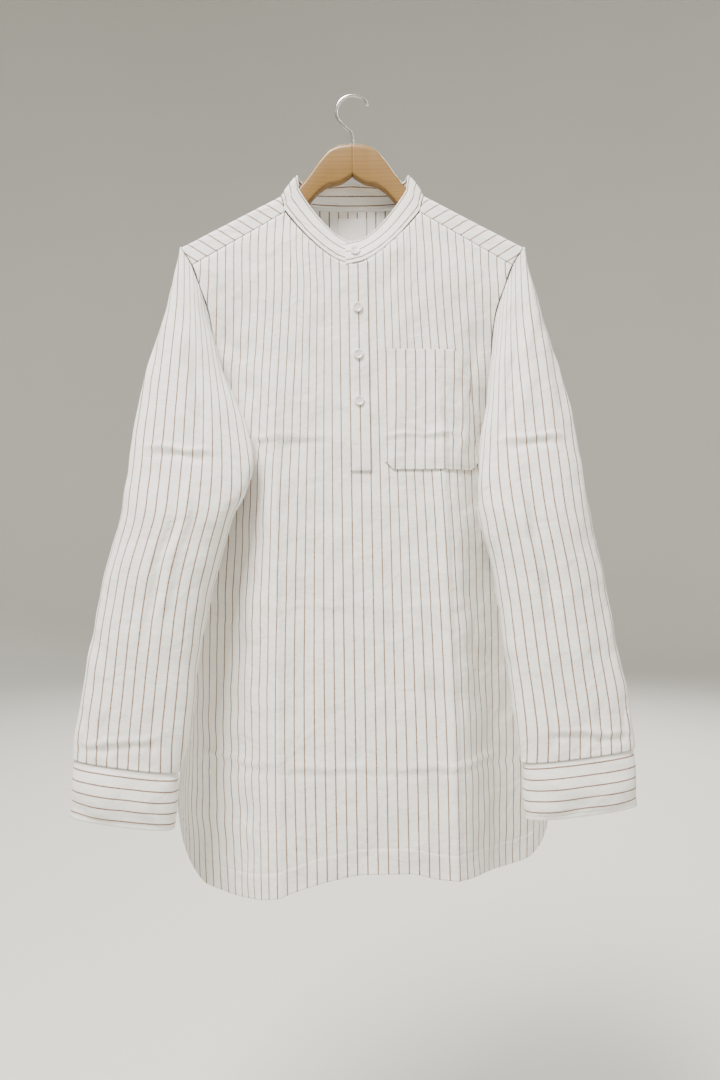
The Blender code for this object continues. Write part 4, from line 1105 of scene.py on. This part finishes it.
def armhole_loop(side):
    """The sleeve's upper ring: shoulder, front of the armhole, underarm, back of the armhole."""
    around = QUARTER * np.array((0.0, 0.5, 1.0))
    over_front = shoulder_point(yoke_edge(-around), -around) * (side, 1, 1)
    over_back = shoulder_point(yoke_edge(around), around) * (side, 1, 1)
    z = np.concatenate(((-206.0, -222.0), LEVELS))
    front = front_point(side * column(ARMHOLE, 1, z), z)
    back_x = side * column(ARMHOLE, 2, z)
    back = np.stack((back_x, back_depth(back_x, z), z), -1)
    front[-1, 1] = back[-1, 1] - LAY
    return np.concatenate((over_front, front, back[-2::-1], over_back[:0:-1]))


def level_ring(side, level, sizes, angle):
    """A rounded rectangle round a sleeve's middle, tilted with the sleeve's lean."""
    middle_x, middle_y, half_width, half_depth = sizes
    power = 2.0 / 2.6
    wide = np.sign(np.cos(angle)) * np.abs(np.cos(angle)) ** power
    deep = np.sign(np.sin(angle)) * np.abs(np.sin(angle)) ** power
    x = side * half_width * wide
    tilt = -0.13 * side * ease((-500.0 - level) / 200.0)
    z = level - tilt * x
    return np.stack((middle_x + x, middle_y - half_depth * deep, z), -1)


def clear_of_body(grid, side):
    """Moves the points of a sleeve that lie over the front panel to where they are clear of it."""
    x, y, z = grid[..., 0], grid[..., 1], grid[..., 2]
    clear = CLEAR + CLEAR_BELOW * ease(np.arange(len(grid)) / 4.0)[:, None]
    edge = edge_out(z, side)
    over = ease((edge + 6.0 - np.abs(x)) / 6.0)
    ahead = front_depth(side * np.minimum(np.abs(x), edge - 0.5), z) - clear
    moved = np.stack((x, y + np.minimum(ahead - y, 0.0) * over, z), -1)
    moved[0] = grid[0]
    return moved


def sleeve_grid(side, table):
    """Grid of a sleeve: from the armhole's ring to level rounded rings that hang in front.

    Between the two, its crown swells outwards and the fold beside the body swells over the front.
    """
    swell = BULGE_LEFT if side < 0 else BULGE_RIGHT
    loop = armhole_loop(side)
    count = len(loop)
    round_share = np.arange(count) / count
    step = np.roll(loop, -1, 0) - np.roll(loop, 1, 0)
    away = unit(np.stack((side * np.abs(step[:, 2]), np.zeros(count), np.abs(step[:, 0])), -1))
    behind = ease((round_share - 0.45) / 0.1) * ease((0.75 - round_share) / 0.2)
    loop = loop + away * (LAY + 0.3 + 1.6 * behind)[:, None]
    lapped = ease((round_share - 0.16) / 0.2) * ease((0.56 - round_share) / 0.1)
    loop[:, 1] -= 2.4 * lapped
    angle = 2 * np.pi * round_share + SLEEVE_TURN
    levels = table[0, 0] + (table[-1, 0] - table[0, 0]) * np.linspace(0, 1, 9)
    below = [level_ring(side, level, [column(table, k, level) for k in range(1, 5)], angle)
             for level in levels]
    bulge = np.exp(-((round_share - 0.30) / 0.08) ** 2)
    crown = np.exp(-(np.abs((round_share - 0.42) % 1.0 - 0.5) / 0.14) ** 2)
    above = []
    for t in np.linspace(0, 1, 9)[:-1]:
        puff = math.sin(math.pi * t)
        ring = loop + (below[0] - loop) * t ** 0.85
        ring[:, 0] += side * puff * (CROWN_OUT * crown - swell * bulge)
        ring[:, 1] -= BULGE_FORWARD * puff * bulge
        above.append(ring)
    return clear_of_body(np.array(above + below), side)


def tube_normals(points, side):
    """Outward unit normals of a tube whose last column lies on its first."""
    facing = surface_normals(points) * side
    facing[:, 0] = facing[:, -1] = 0.5 * (facing[:, 0] + facing[:, -1])
    return facing


def sleeve(name, side, table, creases, shift):
    """One sleeve: its plain form made finer, with its creases and waves.

    Its columns start at the underarm seam and run round the back, the outer edge and the front.
    Its place in the flat cloth is the way round from the outer edge, and the way down its outer
    edge.
    """
    plain = np.roll(sleeve_grid(side, table), -LOOP_SEAM, axis=1)
    points = resample(resample(plain, SLEEVE_ROWS, 0), SLEEVE_COLUMNS, 1, ring=True)
    share = 1 - SLEEVE_TURN / (2 * math.pi) - LOOP_SEAM / LOOP_POINTS
    outer = round(share * (SLEEVE_COLUMNS - 1))
    around = lengths(points, 1)
    around = around - around[:, [outer]]
    relief = creased(around, points[..., 2], creases)
    relief += slight_waves(around, points[..., 2], 31 + side, 0.6)
    down = np.linspace(0, 1, len(points))[:, None]
    relief = relief * ease(down / 0.05) * ease((1 - down) / 0.02)
    points = points + tube_normals(points, side) * relief[..., None]
    way_down = lengths(points, 0)[:, [outer]] + 0.0 * around
    sleeve_map = np.stack((around + shift[0], shift[1] - way_down), -1) * MM
    return cloth_piece(name, points, sleeve_map, [name.replace("_cloth", "")],
                       rightwards=side < 0)


left_sleeve = sleeve("sleeve_left_cloth", -1, SLEEVE_LEFT, LEFT_SLEEVE_CREASES, (6.0, 4000.0))
right_sleeve = sleeve("sleeve_right_cloth", 1, SLEEVE_RIGHT, RIGHT_SLEEVE_CREASES, (6.5, 5200.0))


# The cuffs: doubled and stiffened bands buttoned at the hidden side, cut across the cloth so that
# their stripes run round the wrist.
CUFF_HEIGHT = 60.0
CUFF_BELLY = 4.0
CUFF_SWING = 3.0


def cuff_ring(side, table, t, angle):
    """Ring of a cuff at a share of its height: it bulges in the middle and swings outwards."""
    belly = CUFF_BELLY * math.sin(math.pi * t)
    sizes = (table[-1, 1] + side * CUFF_SWING * t, table[-1, 2] - CUFF_SWING * t,
             table[-1, 3] - 2.5 + 0.4 * belly, table[-1, 4] - 2.0 + belly)
    return level_ring(side, table[-1, 0] - 2 * SEAM - CUFF_HEIGHT * t, sizes, angle)


def cuff(name, side, table, node, shift, seed):
    """A barrel cuff that bulges in the middle of its height, with sewn lines near both edges."""
    angle = np.linspace(0, 2 * np.pi, 150) + SLEEVE_TURN + np.pi
    down = np.linspace(0, 1, 60)
    points = np.array([cuff_ring(side, table, t, angle) for t in down])
    around = lengths(points, 1)
    down = down[:, None]
    from_edge = CUFF_HEIGHT * np.minimum(down, 1 - down)
    sewn = np.exp(-((from_edge - 4.0) / 0.9) ** 2)
    waves = slight_waves(around, points[..., 2], seed, 0.7) + 0.5 * np.sin(around / 11.0 + seed)
    relief = waves * ease(from_edge / 12.0) - 0.4 * sewn
    points = points + tube_normals(points, side) * relief[..., None]
    cuff_map = np.stack((CUFF_HEIGHT * down + shift + 0.0 * around, around + 40.0 * seed), -1) * MM
    return cloth_piece(name, points, cuff_map, [node], thick=1.7, rightwards=side < 0), points


left_cuff, left_cuff_points = cuff("cuff_left_band", -1, SLEEVE_LEFT, "cuff_left", -8.0, 51)
right_cuff, right_cuff_points = cuff("cuff_right_band", 1, SLEEVE_RIGHT, "cuff_right", -6.0, 52)


# The neck label: a plain woven patch without any words, sewn inside the back of the yoke.
LABEL_LEFT, LABEL_RIGHT = -18.0, 17.0
LABEL_START, LABEL_STOP = 21.0, 62.0
LABEL_WALL = 0.8


def label_material():
    """Close white satin weave, with fine ribs across it."""
    material, shader, tree = new_material("label weave", (0.78, 0.75, 0.70), 0.6)
    cloth = add_node(tree, "ShaderNodeUVMap", uv_map="cloth").outputs["UV"]
    woven = use_group(tree, weave, {"Cloth": cloth, "Thread": 0.0003})
    tone = colour_steps(tree, woven["Slub"], ((0.35, (0.70, 0.67, 0.61)),
                                              (0.65, (0.82, 0.79, 0.74))))
    set_inputs(tree, shader, {"Base Color": tone, "Sheen Weight": 0.2,
                              "Normal": bumped(tree, woven["Height"], 0.4, 0.0002)})
    return material


x = np.linspace(LABEL_LEFT, LABEL_RIGHT, 40) * np.ones((40, 1))
along = np.linspace(LABEL_START, LABEL_STOP, 40)[:, None] * np.ones(40)
label_points = shoulder_point(x, along)
label_points[..., 1] -= (WALL + LABEL_WALL) / 2 + 2 * SEAM
border = np.minimum.reduce((x - LABEL_LEFT, LABEL_RIGHT - x, along - LABEL_START,
                            LABEL_STOP - along))
label_points[..., 1] -= 0.25 * ease(border / 6.0) - 0.15 * np.exp(-((border - 1.5) / 0.6) ** 2)
label_map = np.stack((x + 60.0, 6000.0 - along), -1) * MM
neck_label = cloth_piece("neck_label", label_points, label_map, ["label"], thick=0.6,
                         material=label_material())


# The buttons: pale four-hole buttons of 11.4 mm, turned with a raised rim and a dished middle, and
# sewn on with two bars of thread.
BUTTON_RADIUS = 5.7
BUTTON_HEIGHT = 2.4
BUTTON_HOLE = 1.35


def button_material():
    """Pale polished resin with a faint cloudy swirl."""
    material, shader, tree = new_material("button resin", (0.80, 0.77, 0.71), 0.25)
    place = add_node(tree, "ShaderNodeTexCoord").outputs["Object"]
    cloud = noise(tree, place, 260.0, Distortion=1.5)
    tone = colour_steps(tree, cloud, ((0.3, (0.72, 0.68, 0.61)), (0.7, (0.86, 0.84, 0.80))))
    set_inputs(tree, shader, {"Base Color": tone, "Coat Weight": 0.3,
                              "Roughness": span(tree, cloud, (0.3, 0.7), (0.2, 0.34))})
    return material


def thread_material():
    """Twisted cotton thread: fine slanting plies across the stitches."""
    material, shader, tree = new_material("cotton thread", (0.74, 0.70, 0.64), 0.7)
    place = add_node(tree, "ShaderNodeTexCoord").outputs["Object"]
    ply = add_node(tree, "ShaderNodeTexWave", {"Vector": place, "Scale": 900.0, "Distortion": 1.0},
                   bands_direction="DIAGONAL").outputs["Fac"]
    tone = colour_steps(tree, ply, ((0.2, (0.62, 0.58, 0.52)), (0.8, (0.80, 0.77, 0.71))))
    set_inputs(tree, shader, {"Base Color": tone, "Normal": bumped(tree, ply, 0.3, 0.0001),
                              "Sheen Weight": 0.2})
    return material


resin = button_material()
thread = thread_material()


def on_path(places, way, values):
    """Values of a path's points at ways along it."""
    return np.stack([np.interp(places, way, values[:, k]) for k in range(3)], -1)


def stitches(name, lines, thick=0.42, long=2.3, pitch=3.1):
    """Rows of stitches, each a short spindle of thread on the cloth.

    Each line is a path of points and their outward directions. A spindle has a ring of four points
    round its middle and a point at each end, sunk a little into the cloth.
    """
    points, faces = [], []
    pattern = np.array(((0, 2, 3), (0, 3, 4), (0, 4, 5), (0, 5, 2),
                        (1, 3, 2), (1, 4, 3), (1, 5, 4), (1, 2, 5)))
    for path, out in lines:
        way = lengths(path[None], 1)[0]
        places = np.arange(pitch / 2, way[-1], pitch)
        centre = on_path(places, way, path)
        up = unit(on_path(places, way, out))
        along = unit(on_path(places + 0.5, way, path) - on_path(places - 0.5, way, path))
        side = np.cross(along, up)
        half = thick / 2
        corners = (centre - along * long / 2 - up * half, centre + along * long / 2 - up * half,
                   centre + side * half, centre + up * half, centre - side * half,
                   centre - up * half)
        first = sum(len(block) for block in points)
        points.append(np.stack(corners, 1).reshape(-1, 3))
        number = first + 6 * np.arange(len(centre))[:, None, None]
        faces.append((number + pattern).reshape(-1, 3))
    return make_mesh(name, np.concatenate(points), np.concatenate(faces), thread, [])


def button(name, node, seat, out):
    """A turned disc: its height is a profile of the way out from the middle, less four holes."""
    out = unit(np.asarray(out, float))
    across = unit(np.cross(out, (0.0, 0.0, 1.0)))
    up = np.cross(across, out)
    radius = BUTTON_RADIUS * np.array((0.0, 0.05, 0.1, 0.15, 0.2, 0.24, 0.28, 0.32, 0.36, 0.4,
                                       0.45, 0.5, 0.56, 0.62, 0.68, 0.74, 0.8, 0.86, 0.91, 0.95,
                                       0.98, 1.0, 1.0, 0.98, 0.92, 0.8, 0.0))
    height = BUTTON_HEIGHT * np.array((0.66, 0.66, 0.66, 0.66, 0.66, 0.66, 0.66, 0.66, 0.66, 0.66,
                                       0.67, 0.69, 0.73, 0.79, 0.87, 0.94, 0.99, 1.0, 0.97, 0.9,
                                       0.8, 0.65, 0.45, 0.25, 0.08, 0.0, 0.0))
    radius = np.maximum(radius, 0.01)
    angle = np.linspace(0, 2 * np.pi, 64, endpoint=False)
    right = radius[:, None] * np.cos(angle)
    high = radius[:, None] * np.sin(angle)
    hole = np.hypot(np.abs(right) - BUTTON_HOLE, np.abs(high) - BUTTON_HOLE)
    front = (np.arange(len(radius)) < 20)[:, None]
    level = height[:, None] - front * 1.1 * np.exp(-(hole / 0.62) ** 4) + SEAM
    points = (np.asarray(seat) + right[..., None] * across + high[..., None] * up
              + level[..., None] * out)
    make_mesh(name, points.reshape(-1, 3), grid_faces(len(radius), 64, True)[:, ::-1], resin,
              [node])
    bars = []
    for height_of_bar in (-BUTTON_HOLE, BUTTON_HOLE):
        span = np.linspace(-BUTTON_HOLE - 1.3, BUTTON_HOLE + 1.3, 3)[:, None]
        bar = (np.asarray(seat) + span * across + height_of_bar * up
               + (SEAM + 0.7 * BUTTON_HEIGHT) * out)
        bars.append((bar, np.repeat(out[None], 3, 0)))
    return bars


button_bars = []
for number, level in enumerate(BUTTON_LEVELS):
    x = np.array(placket_middle(level)) - 1.0
    out = forward(front_point, x, np.array(level))
    seat = on_front(x, np.array(level), np.array(LAY + WALL / 2))
    button_bars += button("shirt_button_%d" % (number + 1), "button_placket_%d" % (number + 1),
                          seat, out)
band = collar_grid(4)
lean = band[2, 1] - band[1, 1]
out = np.array((0.0, -lean[2], lean[1])) / np.hypot(lean[1], lean[2])
button_bars += button("shirt_button_collar", "button_collar",
                      (band[1, 1] + band[2, 1]) / 2 + out * 0.8, out)
for name, side, table in (("left", -1, SLEEVE_LEFT), ("right", 1, SLEEVE_RIGHT)):
    angle = 2 * np.pi * np.arange(LOOP_POINTS) / LOOP_POINTS + SLEEVE_TURN
    ring = cuff_ring(side, table, 0.5, angle)
    seat = np.array((table[-1, 1] + side * CUFF_SWING / 2, ring[:, 1].max() + 1.0,
                     ring[:, 2].mean()))
    button_bars += button("shirt_button_cuff_" + name, "button_cuff_" + name, seat,
                          (0.0, 1.0, 0.0))
stitches("button_thread", button_bars, thick=0.8, long=2.9, pitch=2.7)


# The sewing: lockstitch in cream cotton thread, about eight stitches to 25 mm, a needle's width
# inside each folded edge.
def line_on_front(x, z, raised):
    """A sewn line on the front: its points, raised, and their outward directions."""
    out = forward(front_point, x, z)
    return on_front(x, z, raised * np.ones_like(x)), out


def sewn_rows(points, rows, facing, lift):
    """Sewn lines along rows of a grid, lifted off it; facing turns its normals outwards."""
    out = facing * surface_normals(points)
    return [(points[row] + lift * out[row], out[row]) for row in rows]


sewn_lines = []
for edge in (-1, 1):
    z = np.linspace(FRONT_NECK[0, 1] - 3.0, PLACKET_END + 2.0, 200)
    sewn_lines.append(line_on_front(placket_middle(z) + edge * (PLACKET_WIDTH / 2 - 2.0), z,
                                    LAY + 0.45))
for z_line in (PLACKET_END + 2.0, PLACKET_END + PLACKET_BOX):
    over = np.linspace(-PLACKET_WIDTH / 2 + 2.0, PLACKET_WIDTH / 2 - 2.0, 30)
    z = z_line + 0.0 * over
    sewn_lines.append(line_on_front(placket_middle(z) + over, z, LAY + 0.45))
sewn_lines += sewn_rows(front_points, (HEM_SEWN,), -1, 0.35)
sewn_lines += sewn_rows(back_points, (HEM_SEWN,), -1, 0.35)
out = -surface_normals(pocket_points)
left_edge = int(np.argmin(np.abs(in_from_side[60, :40] - 2.0)))
right_edge = pocket_points.shape[1] - 1 - left_edge
pocket_lifted = pocket_points + 0.35 * out
mouth_row = int(np.argmin(np.abs(below_lip[:, 40] - POCKET_MOUTH)))
foot_row = int(np.argmin(np.abs(in_from_foot[:, 40] - 2.0)))
for rows, columns in ((slice(0, foot_row + 1), left_edge), (slice(0, foot_row + 1), right_edge),
                      (mouth_row, slice(left_edge, right_edge + 1)),
                      (foot_row, slice(left_edge, right_edge + 1))):
    sewn_lines.append((pocket_lifted[rows, columns], out[rows, columns]))
sewn_lines += sewn_rows(collar_points, (3, -4), -1, 0.8)
sewn_lines += sewn_rows(left_cuff_points, (4, 55), -1, 0.9)
sewn_lines += sewn_rows(right_cuff_points, (4, 55), 1, 0.9)
sewn_lines += sewn_rows(yoke_points, (2, -2), 1, 0.4)
seam_stitching = stitches("seam_stitching", sewn_lines)


# The studio: a pale seamless floor that curves up all round, well below and away from the garment,
# three large soft lamps that the camera doesn't see, and the camera where the photographer stood.
FLOOR = -1400.0
BOWL = 6500.0
BOWL_SIDES = 96
LAMP_AIM = (0.0, 0.0, -0.5)


def studio_paint():
    """Matt warm-grey paint, slightly uneven."""
    material, shader, tree = new_material("studio paint", (0.60, 0.59, 0.54), 0.9)
    place = add_node(tree, "ShaderNodeTexCoord").outputs["Object"]
    tone = colour_steps(tree, noise(tree, place, 0.7, 3.0), ((0.3, (0.59, 0.58, 0.53)),
                                                             (0.7, (0.61, 0.60, 0.55))))
    set_inputs(tree, shader, {"Base Color": tone})
    return material


reach = np.concatenate((np.linspace(0.001, 0.72, 12), 0.72 + 0.28 * np.sin(
    np.linspace(0.1, np.pi / 2, 14)), np.ones(6)))
rise = np.concatenate((np.zeros(12), 0.28 * (1 - np.cos(np.linspace(0.1, np.pi / 2, 14))),
                       np.linspace(0.34, 1.5, 6)))
angle = np.linspace(0, 2 * np.pi, BOWL_SIDES, endpoint=False)
bowl_points = np.stack((BOWL * reach[:, None] * np.cos(angle), BOWL * reach[:, None]
                        * np.sin(angle), FLOOR + BOWL * rise[:, None] + 0.0 * angle), -1)
bowl_mesh = bpy.data.meshes.new("studio_bowl")
bowl_mesh.from_pydata((bowl_points.reshape(-1, 3) * MM).tolist(), [],
                      grid_faces(len(reach), BOWL_SIDES, True).tolist()
                      + [list(range(BOWL_SIDES))])
bowl_mesh.polygons.foreach_set("use_smooth", np.ones(len(bowl_mesh.polygons), bool))
bowl_mesh.materials.append(studio_paint())
bowl = bpy.data.objects.new("studio_bowl", bowl_mesh)
bpy.context.scene.collection.objects.link(bowl)


def soft_lamp(name, place, size, power, colour):
    """A square area lamp, unseen by the camera, aimed at the garment; sizes are in metres."""
    lamp = bpy.data.lights.new(name, "AREA")
    lamp.size = size
    lamp.energy = power
    lamp.color = colour
    holder = bpy.data.objects.new(name, lamp)
    bpy.context.scene.collection.objects.link(holder)
    way = np.subtract(LAMP_AIM, place)
    turn = math.atan2(way[1], way[0]) - math.pi / 2
    fall = math.atan2(math.hypot(way[0], way[1]), -way[2])
    holder.location = place
    holder.rotation_euler = (fall, 0.0, turn)
    holder.visible_camera = False


soft_lamp("key_lamp", (-0.9, -1.4, 2.3), 1.2, 320.0, (1.0, 0.99, 0.97))
soft_lamp("fill_lamp", (1.8, -2.4, 0.4), 2.0, 20.0, (1.0, 0.96, 0.91))
soft_lamp("back_lamp", (0.6, 3.2, 1.4), 2.0, 230.0, (1.0, 0.99, 0.97))
world = bpy.data.worlds.new("studio air")
world.use_nodes = True
set_inputs(world.node_tree, world.node_tree.nodes["Background"],
           {"Color": (1.0, 0.985, 0.96, 1.0), "Strength": 0.6})
bpy.context.scene.world = world

lens = bpy.data.cameras.new("photo_camera")
lens.sensor_width = 36.0
lens.sensor_fit = "AUTO"
lens.lens = 29.0
camera = bpy.data.objects.new("photo_camera", lens)
camera.location = (0.009, -1.035, -0.527)
camera.rotation_euler = (math.pi / 2, 0.0, 0.0)
bpy.context.scene.collection.objects.link(camera)
bpy.context.scene.camera = camera
